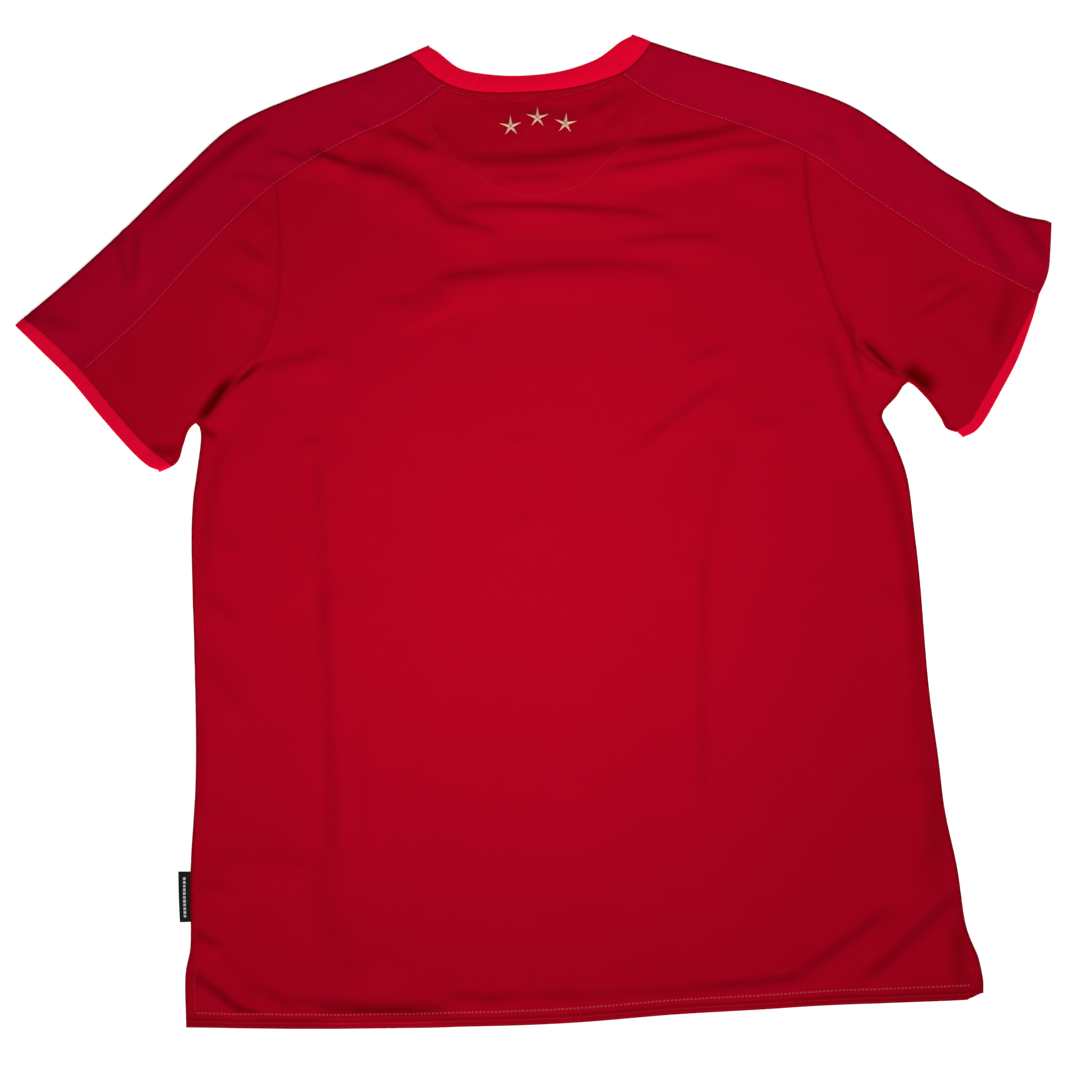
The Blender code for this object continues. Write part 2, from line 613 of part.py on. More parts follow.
def label():
    """The woven tab: a flat strip that leaves the side seam and slopes down to its free edge."""
    edge = LOWER_FOLD["left"]
    top = edge.where(Spot(SIDE_LEFT[0].x, LABEL_TOP))
    lengths = np.linspace(top, top + LABEL_HEIGHT, LABEL_CELLS + 1)
    seam = edge.at(lengths)
    out = edge.sideways(lengths, LEFT.outward)
    radius = turn_radius(seam[:, 1])
    columns = []
    for share in (0.0, 0.5, 1.0):
        reach = radius + CLOTH / 2 + LABEL_CLEARANCE + share * LABEL_REACH
        height = LOW + radius - share * LABEL_TILT
        columns.append(np.column_stack([seam + out * reach[:, None], height]))
    return [np.array(columns)]


# ---------------------------------------------------------------- objects

def cloth_material(name, colour):
    """A matt cloth finish in one colour."""
    material = bpy.data.materials.new(name)
    material.use_nodes = True
    shader = material.node_tree.nodes["Principled BSDF"]
    shader.inputs["Base Color"].default_value = (*colour, 1.0)
    shader.inputs["Roughness"].default_value = ROUGHNESS
    shader.inputs["Metallic"].default_value = 0.0
    return material


def grid_faces(rows, columns, start, closed):
    """Quads of a grid whose first point has the number start; a closed grid's last row meets its first."""
    corner = np.arange(rows * columns).reshape(rows, columns) + start
    after = np.roll(corner, -1, axis=0)
    if not closed:
        corner, after = corner[:-1], after[:-1]
    quads = np.stack([corner[:, :-1], corner[:, 1:], after[:, 1:], after[:, :-1]], axis=-1)
    return quads.reshape(-1, 4).tolist()


def add_piece(collection, name, grids, colour, closed=False):
    """An object whose wall lies evenly on both sides of the joined grids."""
    points, faces = [], []
    for grid in grids:
        faces += grid_faces(grid.shape[0], grid.shape[1], len(points), closed)
        points += (grid.reshape(-1, 3) * MM).tolist()
    mesh = bpy.data.meshes.new(name)
    mesh.from_pydata(points, [], faces)
    work = bmesh.new()
    work.from_mesh(mesh)
    bmesh.ops.remove_doubles(work, verts=work.verts, dist=WELD * MM)
    bmesh.ops.recalc_face_normals(work, faces=work.faces)
    work.to_mesh(mesh)
    work.free()
    mesh.materials.append(cloth_material(name, colour))
    piece = bpy.data.objects.new(name, mesh)
    collection.objects.link(piece)
    wall = piece.modifiers.new("wall", "SOLIDIFY")
    wall.thickness = CLOTH * MM
    wall.offset = 0.0
    wall.use_even_offset = True
    wall.use_quality_normals = True
    return piece


def clear_scene():
    """Remove every object that the new file holds."""
    for thing in list(bpy.data.objects):
        bpy.data.objects.remove(thing, do_unlink=True)


def main():
    """Build the shirt."""
    clear_scene()
    shirt = bpy.data.collections.new("football_jersey")
    bpy.context.scene.collection.children.link(shirt)
    add_piece(shirt, "front_panel", body_panel("front"), CRIMSON)
    add_piece(shirt, "back_panel", body_panel("back"), CRIMSON)
    for flank in (LEFT, RIGHT):
        add_piece(shirt, "shoulder_panel_" + flank.name, shoulder_panel(flank), DEEP_CRIMSON)
        add_piece(shirt, "sleeve_" + flank.name, sleeve(flank), CRIMSON)
        add_piece(shirt, "cuff_" + flank.name, cuff(flank), BRIGHT_RED, closed=True)
    add_piece(shirt, "collar_band", collar(), BRIGHT_RED, closed=True)
    add_piece(shirt, "side_label", label(), BLACK)


main()
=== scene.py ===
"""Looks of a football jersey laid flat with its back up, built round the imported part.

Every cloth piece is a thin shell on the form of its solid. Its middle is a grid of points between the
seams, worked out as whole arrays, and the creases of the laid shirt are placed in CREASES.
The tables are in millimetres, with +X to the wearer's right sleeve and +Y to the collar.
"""
import math
from collections import namedtuple

import bmesh
import bpy
import numpy as np
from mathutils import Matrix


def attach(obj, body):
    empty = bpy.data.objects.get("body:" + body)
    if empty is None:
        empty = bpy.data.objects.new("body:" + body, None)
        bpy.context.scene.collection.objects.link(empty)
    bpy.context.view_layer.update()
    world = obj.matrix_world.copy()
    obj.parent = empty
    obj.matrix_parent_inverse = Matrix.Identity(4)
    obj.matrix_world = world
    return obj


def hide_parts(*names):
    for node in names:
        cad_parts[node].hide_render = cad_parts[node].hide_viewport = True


bl_info = {
    "name": "Football jersey laid flat",
    "version": (1, 0, 0),
    "blender": (4, 5, 0),
    "location": "3D View > Sidebar > Jersey",
    "description": "Sewn cloth, stitching, embroidery and stage of a football jersey laid flat",
    "category": "Add Mesh",
}

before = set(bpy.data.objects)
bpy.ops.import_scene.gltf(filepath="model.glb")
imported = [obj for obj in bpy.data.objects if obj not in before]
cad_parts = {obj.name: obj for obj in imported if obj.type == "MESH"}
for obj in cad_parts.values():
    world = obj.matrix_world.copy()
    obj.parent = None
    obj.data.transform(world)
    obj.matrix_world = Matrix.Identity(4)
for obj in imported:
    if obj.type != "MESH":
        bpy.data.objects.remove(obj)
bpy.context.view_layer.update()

MM = 0.001
BODY = "root"

# Layers and turned edges
LOW = 0.5                    # middle of the lower layer's wall
FLAT = 1.9                   # middle of the upper layer's wall where it lies on the lower one
FOLD_RADIUS = 1.5            # middle of the wall where the cloth turns over
FREE_RADIUS = 0.7            # the same where the two edges of a vent lie on each other
EDGE_REACH = 45.0            # how far from a turned edge the upper layer is still held up by it
HALF_GAP = 0.06              # from each wall's end to the seam
CUFF_BAND = 11.0             # width of the sleeve bands
NECK_BAND = 17.0             # width of the neck band at the front
VENT_TOP = -325.0            # down to here the sides are sewn together, and from VENT_FREE on they are free
VENT_FREE = -346.0
TUCK_HELD = 16.0             # the right sleeve's end is held up over the band that lies inside
TUCK_REACH = 55.0
TUCK_INSET = (1.4, 0.4)      # by how much that band is shorter at its upper and its lower end
TUCK_LIFT = 0.05             # how far its upper strip is above FLAT
CUFF_GAP = -0.04             # the cloth's own gap leaves room for the band
CUFF_CROWN = 0.15            # by how much a band's outer face is crowned
COLLAR_CROWN = 0.35
BAND_FACE_CELLS = 12
BAND_TURN_CELLS = 8
BAND_CORNER = 0.7            # share of the thickness at the rounded corner beside the seam
BAND_LEAST = 0.3             # least width of a band's face
BAND_SHADE = 0.12            # share of the width beside the seam that gets painted shade
TINY = 1e-6
WELD = 0.001
CLOTH_SHARP, BEVEL_SHARP, STITCH_SHARP, STAR_SHARP, TICK_SHARP = 50, 55, 80, 28, 40      # in degrees
SHARPEST = 0.3               # sine of the sharpest corner at which a seam's gap is kept in full
WHOLE = slice(None)          # all of a border

# How far the close rows beside a seam are from it, and the rows of the hem
SEAM_STEPS = (0, 0.5, 1.0, 1.7, 2.6, 3.7, 5.2)
CORNER_STEPS = (0, 1.1, 2.4, 4.2)
HEM_STEPS = (0, 0.5, 1.0, 1.7, 2.5, 3.3, 4.0, 4.7, 5.6, 6.9, 8.3, 9.4, 10.2, 11.0, 12.1, 13.8, 16.2)
PLAIN = (0,)
CURVE_STEPS = 16             # points of a plan curve from one spot to the next
PACE_STEPS = 400
NORMAL_WINDOW = 3.0          # a curve's way at a place is taken this far before and after it
TURN_CELLS = 10
FLANGE_CELLS = 5

# Nominal length of each border and the pitch of its rows, in the upper layer and in the lower one. Where
# the pitch varies, the first numbers are places along the border and the second ones the pitches there.
YOKE = (150, 2.6)
YOKE_PACE = ((60, 110, 150), (3.4, 2.3, 2.0))
SIDE = 456
SIDE_PACE = ((70, 110, 330, 400), (2.5, 4.4, 4.4, 2.7))
ARM = (220, 2.4)
ARMHOLE_WAY = (208, 2.2)
GUSSET = (62, 1.7)
UNDERARM = (55, 1.5)
STRAP_ABOVE, STRAP_BELOW = (52, 1.6), (52, 5.0)
SLEEVE_ABOVE, SLEEVE_BELOW = (145, 2.1), (145, 4.5)
CUFF_ABOVE, CUFF_BELOW = (160, 1.8), (160, 3.6)
COLLAR_ABOVE, COLLAR_BELOW = 1.5, 2.4
NECK_CELLS = 52
FRONT_COARSER = 2.2

Spot = namedtuple("Spot", "x y")
Strap = namedtuple("Strap", "fold back front")
Band = namedtuple("Band", "x y width")
Crease = namedtuple("Crease", "x1 y1 x2 y2 bow height steep gentle")
Flank = namedtuple("Flank", "name outward straps armhole bend underarm side sleeve_end grain")
Seam = namedtuple("Seam", "line groove width lift reach pucker")
# a sheet's last field is the shade painted into its colour, from 0 to 1
Sheet = namedtuple("Sheet", "points cloth hollow")
Ring = namedtuple("Ring", "seam edge normal")


def table(kind, *values):
    """A list of rows, each one a tuple with named values."""
    return [kind(*row) for row in values]


def strap(fold_x, fold_y, back_x, back_y, front_x, front_y):
    """A row of a shoulder panel: where its fold, its back seam and its front seam pass."""
    return Strap(Spot(fold_x, fold_y), Spot(back_x, back_y), Spot(front_x, front_y))


# Shoulder panels, from the collar to the cuff: the shoulder fold, the back seam and the front seam
ARMHOLE_ROW = 3
STRAPS_LEFT = table(
    strap,
    (-98, 366, -69, 343, -88, 332),
    (-131, 352, -105, 317, -122, 311),
    (-180, 334, -152, 294, -162, 289),
    (-235, 308, -202, 262, -202, 262),
    (-277, 268, -238, 229, -238, 229),
    (-316, 227, -270, 194, -270, 194),
    (-357, 187, -306, 153, -306, 153),
    (-395, 153, -349.3, 111.2, -349.3, 111.2),
)
STRAPS_RIGHT = table(
    strap,
    (91, 376, 67, 351.5, 82, 344),
    (133, 362, 99, 331, 117, 325),
    (184, 347, 158, 310, 168, 305),
    (243, 326, 212, 287, 212, 287),
    (282, 300, 255, 256, 255, 256),
    (317, 272, 305, 222, 305, 222),
    (346, 254, 335, 201, 335, 201),
    (358, 244, 350, 193, 350, 193),
    (379, 234, 369, 183, 364, 185),
    (403, 230, 390.8, 171.7, 381.2, 176.3),
)

# Armhole seams, from the shoulder panel down to the armpit, and where they bend towards it
ARMHOLE_LEFT = table(Spot, (-202, 262), (-199, 217), (-199, 174), (-208, 136), (-227, 106), (-261, 73.3))
ARMHOLE_RIGHT = table(Spot, (212, 287), (213, 255), (219, 213), (232, 169), (246, 137), (264, 117),
                      (288, 105.5))
BEND_LEFT = Spot(-208, 136)
BEND_RIGHT = Spot(246, 137)

# Underarm edges, from the cuff to the armpit, and side edges, from the armpit to the hem
UNDERARM_LEFT = table(Spot, (-280, 39), (-275, 44), (-272, 55), (-268, 67), (-261, 73.3))
UNDERARM_RIGHT = table(Spot, (325, 66), (318, 69), (314, 77), (303, 93), (288, 105.5))
SIDE_LEFT = table(Spot, (-261, 73.3), (-256, 68), (-255, 56), (-258, 28), (-260, 8), (-260, -30),
                  (-255, -129), (-253, -201), (-255, -256), (-255, -285), (-254, -325), (-258, -346),
                  (-256.5, -383))
SIDE_RIGHT = table(Spot, (288, 105.5), (277, 93), (265.5, 77.5), (275, 56), (284, 28), (288, -10),
                   (291.5, -50), (296, -129), (302, -185), (306, -225), (314, -267), (319, -308),
                   (328, -333), (331.5, -347), (331.5, -358))
HEM = table(Spot, (-256.5, -383), (-160, -384), (-32, -382), (36, -379), (104, -373.5), (167, -370),
            (218, -367), (311, -363.5), (322, -362), (331.5, -358))

HEM_BEYOND = Spot(340, -362)         # where the hem's lines of stitches head at the right, past its corner

# Free edges of the sleeve bands, from the shoulder to the underarm, with the width of band that shows
SLEEVE_END_LEFT = table(Band, (-401.5, 147, 11), (-384, 130, 11), (-359, 105.5, 11), (-333.5, 75.5, 11),
                        (-310, 49.5, 11), (-297, 38, 11), (-289, 35, 11))
SLEEVE_END_RIGHT = table(Band, (395.5, 220, -6), (395, 205, -6), (393.5, 189, -5), (392, 174, 0),
                         (385, 151, 5), (373.5, 122, 8), (360, 97, 9), (347, 74.5, 9), (339, 65, 8),
                         (330.5, 61, 7))

# Neck seam at the back and at the front, from left to right, and the band's free edge at the back
NECK_BACK = table(Spot, (-98, 366), (-92, 361), (-85, 353.5), (-69, 343), (-51, 337.5), (-31, 336),
                  (-11, 336.5), (8, 337.5), (28, 340), (47, 344.5), (67, 351.5), (76, 357.5), (85, 367),
                  (91, 376))
NECK_BACK_EDGE = table(Spot, (-76, 368.5), (-69, 362.5), (-61, 356.5), (-51, 353), (-31, 350.4),
                       (-12, 350), (8, 351.5), (28, 355.5), (47, 362.5), (57, 369), (67, 377))
NECK_FRONT = table(Spot, (-98, 366), (-94, 350), (-88, 332), (-74, 302), (-46, 277), (-4, 268), (40, 282),
                   (70, 313), (82, 344), (87, 360), (91, 376))
COLLAR_TIP_LEFT = Spot(-83, 373)
COLLAR_TIP_RIGHT = Spot(76, 382)

# Lines of stitching on the back: the neck tape and the half-moon facing
TAPE = table(Spot, (-69, 337), (-35, 330), (-6, 329), (20, 333), (51, 342), (63, 348))
HALF_MOON = table(Spot, (-90, 321), (-80, 305), (-69, 288), (-45, 267), (-24, 256), (0, 251), (31, 258),
                  (48, 270), (66, 288), (77, 300), (88, 318))
HEM_LINES = (4.0, 10.3)      # from the hem's edge
VENT_LINE = 6.0
VENT_LINE_TOPS = (-332, -333)

# Creases of the laid shirt. Each row runs along the dark line of a soft ridge, with its bow to the left
# of the way. The steep flank lies to the left and the gentle one to the right, as far as their reaches.
# A height below 0 makes a trough, whose bottom lies on the line.
CREASES = table(
    Crease,
    # from the neck across the upper back
    (-85, 304, 95, 319, 0, 2.0, 38, 40),
    (-84, 304, -44, 280, -2, 1.4, 18, 24),
    (-68, 282, 84, 296, -7, 4.4, 16, 44),
    (62, 292, 178, 311, -2, 3.6, 12, 36),
    (46, 270, 164, 294, -1, 2.1, 6, 20),
    (140, 291, 208, 300, -2, 1.6, 8, 14),
    (140, 275, 212, 270, 0, 1.4, 13, 26),
    (28, 312, 84, 344, 0, 1.3, 11, 16),
    (48, 299, 86, 337, 0, 1.1, 10, 16),
    (-62, 325, 44, 319, 0, 1.0, 10, 18),
    # from the left shoulder seam across the upper back
    (-126, 310, -70, 284, 0, 3.0, 9, 18),
    (-146, 315, -122, 300, 0, 1.0, 6, 10),
    (-84, 312, -66, 295, 0, 1.0, 6, 12),
    (-184, 291, -108, 267, -1, 2.4, 8, 20),
    (-176, 290, -142, 275, 0, 1.8, 7, 14),
    (-146, 280, -74, 250, 2, 2.1, 20, 28),
    (-146, 286, -80, 263, 1, -0.4, 14, 14),
    (-98, 267, -62, 225, 0, 2.2, 10, 20),
    (-82, 240, -20, 221, -2, 2.1, 9, 24),
    (-132, 277, -78, 256, 0, 1.0, 7, 16),
    (-40, 264, 35, 267.5, -1, 1.6, 7, 22),
    (-70, 243, 108, 236, 3.2, 2.3, 9, 24),
    (-34, 244, 68, 240, 1, 0.8, 7, 16),
    (58, 213, 156, 218, 3.5, 1.9, 9, 24),
    (-90, 184, 118, 194, 6, 2.5, 14, 32),
    (-80, 184, -20, 191, 0, 1.1, 12, 26),
    (-118, 149, -56, 186, 2, 1.3, 26, 12),
    (-128, 168, -86, 170, 0, 0.9, 9, 20),
    # left armpit
    (-262, 66, -228, 112, -1, 2.2, 10, 18),
    (-262, 68, -234, 113, 0, -2.2, 7.5, 7.5),
    (-233, 101, -209, 123, 0, -1.4, 4.5, 4.5),
    (-262, 69, -242, 60, 0, -1.6, 6, 6),
    (-222, 113, -150, 130, 0, 1.7, 13, 24),
    (-184, 58, -161, 56.5, 0, 0.9, 6, 18),
    (-252, -62, -236, 64, 5, 1.2, 12, 24),
    # right armpit, and the folds that run down from it
    (250, 142, 284, 105, 0, -1.0, 10, 4.5),
    (281, 119, 312, 95, 0, -2.2, 15, 12),
    (250, 140, 282, 104, 0, 1.6, 7, 14),
    (240, 164, 256, 96, -1, 2.2, 8, 16),
    (227, 150, 269, 32, -5, 2.3, 11, 22),
    (263, 54, 288, -92, 6, 2.4, 12, 30),
    (285, -46, 291, -138, 0, 2.2, 12, 28),
    (288, -108, 298, -222, 0, 1.9, 18, 34),
    (300, -190, 290, -300, 4, 2.2, 22, 30),
    (302, -196, 301, -272, 0, -0.35, 13, 13),
    # middle of the back
    (70, 44, 151, 108, 2, 1.7, 9, 28),
    (112, 115, 153, 137, 0, 1.2, 8, 22),
    (158, 73, 198, 71, 0, 0.9, 7, 18),
    (-28, -14, 8, 6, 0, 0.7, 7, 14),
    (-26, 59, 2, 59, 0, 0.6, 6, 12),
    # pressed lines down both sides of the back
    (-158, -90, -168, 66, 0, 1.2, 12, 38),
    (-150, -268, -161, -50, 0, 1.8, 12, 38),
    (-116, -364, -162, -252, 12, 2.7, 24, 30),
    (-126, -270, -130, -145, 0, 0.6, 8, 16),
    (156, 62, 127, -66, -6, 1.2, 13, 38),
    (129, -30, 125, -230, 0, 1.0, 9, 40),
    # short ones at the left side
    (-248, -16, -221, -28, 0, 0.7, 7, 16),
    (-262, -53, -214, -89, 0, 1.6, 9, 20),
    (-260, -92, -212, -163, 0, 1.5, 11, 24),
    (-250, -232, -251, -140, 0, 0.6, 6, 14),
    (-259, -214, -230, -231, 0, 0.9, 7, 14),
    (-263, -274, -212, -286, 0, 1.7, 8, 22),
    (-240, -258, -192, -262, 3, 1.7, 11, 30),
    (-208, -254, -158, -270, 3, 1.9, 10, 30),
    (-236, -243, -176, -244, 1, 0.8, 7, 18),
    # above the hem
    (-259, -338, -208, -377, -1, 3.8, 5.5, 16),
    (-228, -368, -198, -373, 0, 1.8, 5, 7),
    (-256, -311, -229, -327, 0, 2.1, 5, 12),
    (-244, -318, -206, -352, 0, 1.0, 8, 18),
    (-216, -346, -168, -373, -1, 2.2, 8, 16),
    (-188, -360, -136, -369, 0, 1.4, 8, 12),
    (-168, -369, -54, -371, 2, 4.4, 12, 11),
    (-150, -370, -72, -371.5, 1, -0.8, 5, 5),
    (-72, -358, -12, -362, -1, 2.9, 9, 16),
    (-40, -361, 44, -358, 0, 1.9, 12, 20),
    (2, -361, 210, -346, -2, 1.9, 9, 22),
    (120, -354, 212, -345, 0, 1.4, 8, 16),
    (180, -352, 270, -290, -3, 2.7, 9, 24),
    (234, -356, 322, -277, -2, 3.0, 10, 24),
    (313, -300, 320, -362, 0, 1.8, 16, 18),
    (312, -298, 317, -362, 0, -0.5, 11, 11),
    # left shoulder panel and sleeve
    (-306, 226, -203, 316, 5.5, -0.85, 7, 9),
    (-312, 168, -329, 233, 0, 1.9, 8, 9),
    (-310, 168, -311, 232, 0, 1.5, 6, 10),
    (-210, 291, -172, 278, 0, 1.5, 7, 16),
    (-244, 270, -202, 265, 0, 0.6, 7, 16),
    (-126, 348, -128, 328, 0, 0.8, 8, 12),
    (-221, 251, -200, 223, 0, 1.0, 7, 18),
    (-240, 222, -199, 192, 0, 1.4, 7, 24),
    (-242, 188, -202, 158, 0, 1.2, 9, 24),
    (-255, 126, -266, 202, 0, 0.5, 9, 20),
    (-310, 90, -323, 142, 0, 0.7, 10, 20),
    (-402, 163, -346, 141, 0, 1.5, 14, 18),
    (-306, 52, -266, 49, 0, -1.05, 11, 8),
    # right shoulder panel and sleeve
    (326, 264, 374, 180, 0, 2.0, 14, 24),
    (374, 246, 402, 190, 0, 2.2, 12, 18),
    (228, 307, 238, 276, 0, 0.9, 12, 18),
    (249, 322, 261, 286, 0, 0.9, 12, 18),
    (378, 190, 350, 122, -1, 1.6, 16, 28),
    (374, 188, 351, 124, 0, -0.55, 12, 12),
    (284, 149, 346, 187, -1, 1.3, 6, 20),
    (294, 172, 330, 192, 0, 0.8, 6, 14),
    (243, 202, 276, 216, 0, 0.6, 7, 20),
)
CREASE_END = (28.0, 0.36)    # over what a crease comes to its full height, and at most what share of it
CREASE_SWELL = (0.12, 19.0, 1.7)     # share of the height, length along it and shift from row to row
CREASE_CLEAR = 6.5           # from a turned edge, to where a crease has its full height
FLANK_PAINTED_SHADE = (0.12, 1.0)   # painted shade on a steep flank that runs across the shirt, and what is added up it
FLANK_WIDTH = 0.8            # width of that painted shade, as a share of the steep reach
# painted shade that fills a trough, per millimetre of its depth
TROUGH_PAINTED_SHADE = 0.5
EDGE_PAINTED_SHADE = 0.5            # painted shade on the turned edges, falling to 0 over the reach
EDGE_PAINTED_SHADE_REACH = 2.6

STITCH_AROUND = 5
STITCH_RINGS = ((-0.72, 0.8), (0.0, 1.0), (0.72, 0.8))       # places along a stitch and thickness there
STITCH_SHIFT = 0.18
STITCH_WINDOW = 0.8          # a stitch's way is taken this far before and after its middle
STITCH_TURN = 0.12
STITCH_LENGTHS = (0.82, 1.08)
STITCH_PROUD = 0.3           # from the cloth's face to a stitch's middle, as a share of its thickness
RUN_PITCH = 2.5
STRAP_ENDS = (3, 2)          # of the shoulder seam, that its stitches leave free
STRAP_BESIDE = 0.95          # from the seam to its stitches
HEM_ENDS = (6, 15)
HEM_DOUBLE = 0.6             # from the hem's upper row of stitches to a second one

STAR_CENTRES = table(Spot, (-19, 308), (2, 315), (24, 310))
STAR_TURNS = (0.05, 0.0, -0.08)      # in radians
STAR_ARMS = 5
STAR_WAIST = 0.235           # from the middle to the corners between the arms, as a share of the arms
STAR_EDGE_CELLS = 6
STAR_ROWS = 9                # from the middle to the outline
STAR_TALLER = 0.07
STAR_VALLEY = 0.62           # by what share the crest falls from an arm to a valley
STAR_EDGE = 0.22             # height of the outline over the cloth
STAR_SKIRT = ((1.02, 1.0, 0.02), (0.0, -0.3, -0.3))      # shares and heights of the rows under the outline

LABEL_TOP = -270.0
LABEL_LENGTH = 37.1          # along the side seam
LABEL_ABOVE = 0.8            # by how much it begins above its top
LABEL_START = 0.25           # from the middle of the turned wall
LABEL_REACH = 9.6            # from there to its free edge, at the top
LABEL_TAPER = 1.1            # by how much the reach is less at the bottom
LABEL_WAVE = (0.35, 9.0)     # height and length of its soft wave
LABEL_CELLS = (10, 36)       # across and along
LABEL_WALL = 0.7
TICKS = 11
TICK_PLACES = (0.14, 0.88)   # of the first and the last one, as shares of the label's length
TICK_COLUMN = 5.1            # of the label's cells across
TICK_HALF = 0.95             # half of a tick's width, and of its mean height
TICK_VARIES, TICK_SHIFT = 0.12, 2.3
TICK_X = np.array([-1, -1, -0.8, 0.8, 1, 1])
TICK_Y = np.array([-1, -1, -0.7, 0.7, 1, 1])
TICK_FOOT, TICK_SHOULDER, TICK_TOP = 0.0, 0.5, 0.58      # heights over the label's middle

# Pitches of the knit's columns and courses, of the rib's, of the embroidery's threads and of the weave
KNIT_COLUMN, KNIT_COURSE = 1.15, 0.95
RIB_COLUMN, RIB_COURSE = 1.6, 0.9
SATIN_PITCH = 0.42
WARP_PITCH, WEFT_PITCH = 0.4, 0.5

FLOOR_HALF = 9.0             # in metres, as is all of the stage
FLOOR_UNDER = 0.0002
SUN = (1.92, math.radians(20), (math.radians(60), 0.0, math.radians(4)))     # strength, width and turn
LAMPS = (("overhead", (-0.033, -0.072, 0.456), 1.25),
         ("corner", (0.203, 0.284, 0.497), 0.594))           # name, place and power
LAMP_SIZE = 0.3
SKY = 0.078
CAMERA_TILT = math.radians(7.5)
CAMERA_REACH = 1.5
CAMERA_TARGET = (0.004, -0.019)
LENS = 65.36
SENSOR = 36.0


# ---------------------------------------------------------------- settings

def colour_setting(name, description, default):
    """A linear colour that the user can change."""
    return bpy.props.FloatVectorProperty(name=name, description=description, default=default, size=3,
                                         min=0.0, max=1.0, subtype="COLOR")


def length_setting(name, description, millimetres):
    """A length that the user can change, kept in metres."""
    return bpy.props.FloatProperty(name=name, description=description, default=millimetres * MM,
                                   min=0.0, unit="LENGTH", precision=5)


class JerseySizes(bpy.types.PropertyGroup):
    """Sizes of the cloth, its seams, its creases and its trimmings."""
    wall: length_setting("Cloth", "Thickness of the cloth", 1.0)
    crease: bpy.props.FloatProperty(name="Creases", description="Share of the table's heights", default=1.0,
                                    min=0.0, max=2.0, subtype="FACTOR")
    ripple: length_setting("Ripple", "Height of the soft unevenness between the creases", 0.3)
    ease: length_setting("Rounded edge", "Radius along the ends of the walls", 0.22)
    stitch: length_setting("Stitch", "Length of one stitch", 2.1)
    pitch: length_setting("Stitch pitch", "From one stitch to the next", 2.9)
    thread: length_setting("Thread", "Thickness of the sewing thread", 0.42)
    star: length_setting("Star", "From the middle of a star to its tips", 8.6)
    star_height: length_setting("Star height", "Height of the embroidery in the middle of a star", 0.7)
    band_wall: length_setting("Band", "Thickness of the rib bands", 1.3)


class JerseyColours(bpy.types.PropertyGroup):
    """Colours of the cloths and threads."""
    crimson: colour_setting("Body and sleeves", "Knit of the body and the sleeves", (0.47, 0.001, 0.016))
    shoulder: colour_setting("Shoulders", "Knit of the shoulder panels", (0.466, 0.001, 0.0225))
    collar: colour_setting("Neck band", "Rib of the neck band", (0.94, 0.001, 0.033))
    cuff: colour_setting("Sleeve bands", "Rib of the sleeve bands", (0.92, 0.002, 0.038))
    pale_thread: colour_setting("Seam thread", "Thread of the shoulder seams", (0.66, 0.05, 0.085))
    light_thread: colour_setting("Hem thread", "Thread of the hem's upper line", (0.72, 0.08, 0.115))
    own_thread: colour_setting("Facing thread", "Thread of the neck facing and the hem's edge",
                               (0.62, 0.012, 0.04))
    gold: colour_setting("Stars", "Thread of the stars", (1.0, 0.6, 0.43))
    label: colour_setting("Label", "Ground of the side label", (0.004, 0.004, 0.0045))
    mark: colour_setting("Label ticks", "Woven ticks of the side label", (0.8, 0.8, 0.78))
    floor: colour_setting("Floor", "Floor under the shirt", (0.8, 0.8, 0.8))


def sizes():
    """The sizes in use."""
    return bpy.context.scene.jersey_sizes


def colours():
    """The colours in use."""
    return bpy.context.scene.jersey_colours


# ---------------------------------------------------------------- plan curves

def travelled(points):
    """The length travelled along a run of points, at each of them."""
    return np.concatenate([[0.0], np.cumsum(np.linalg.norm(np.diff(points, axis=0), axis=1))])


def unit(vectors):
    """Vectors of length 1 that point the same way."""
    return vectors / np.linalg.norm(vectors, axis=-1, keepdims=True)


def smooth_run(spots):
    """Points along a Catmull-Rom curve that passes through every spot of the run."""
    knots = np.array([spot[:2] for spot in spots], dtype=float)
    knots = np.vstack([2 * knots[0] - knots[1], knots, 2 * knots[-1] - knots[-2]])
    before, start, end, after = knots[:-3], knots[1:-2], knots[2:-1], knots[3:]
    t = np.linspace(0, 1, CURVE_STEPS, endpoint=False)[:, None, None]
    curve = 0.5 * (2 * start + (end - before) * t
                   + (2 * before - 5 * start + 4 * end - after) * t ** 2
                   + (3 * start - before - 3 * end + after) * t ** 3)
    return np.vstack([curve.transpose(1, 0, 2).reshape(-1, 2), knots[-2]])


def at_lengths(lengths, way, points):
    """Plan points at these lengths along a run of points, between which the way is straight."""
    return np.stack([np.interp(lengths, way, points[:, axis]) for axis in (0, 1)], axis=-1)


class Line:
    """A plan curve through one or more smooth runs that meet at corners, measured along its length."""

    def __init__(self, *runs):
        self.corner = runs[-1][0]
        self.points = np.vstack([smooth_run(run) for run in runs])
        self.lengths = travelled(self.points)

    def at(self, lengths):
        """Points at these lengths along the curve."""
        return at_lengths(lengths, self.lengths, self.points)

    def where(self, spot):
        """Length at which the curve passes nearest to the spot."""
        return self.lengths[np.argmin(np.linalg.norm(self.points - np.array(spot[:2]), axis=1))]

    def run(self, start, end, shares):
        """Lengths from one spot of the curve to another, at shares of the way between them."""
        first, last = self.where(start), self.where(end)
        return first + (last - first) * shares

    def between(self, start, end, shares):
        """Points from one spot of the curve to another, at shares of the way between them."""
        return self.at(self.run(start, end, shares))

    def sideways(self, lengths, sense):
        """Unit normals, to the left of the way along the curve for a sense of 1, or to the right for -1."""
        ahead = unit(self.at(lengths + NORMAL_WINDOW) - self.at(lengths - NORMAL_WINDOW))
        return sense * np.stack([-ahead[..., 1], ahead[..., 0]], axis=-1)


def ease(value):
    """Smooth step from 0 to 1."""
    t = np.clip(value, 0, 1)
    return t * t * (3 - 2 * t)


def hump(value):
    """Raised cosine: 1 at 0, falling to 0 at 1 and at -1."""
    return 0.5 + 0.5 * np.cos(math.pi * np.clip(value, -1, 1))


def even(cells):
    """Evenly spaced shares from 0 to 1."""
    return np.linspace(0, 1, cells + 1)


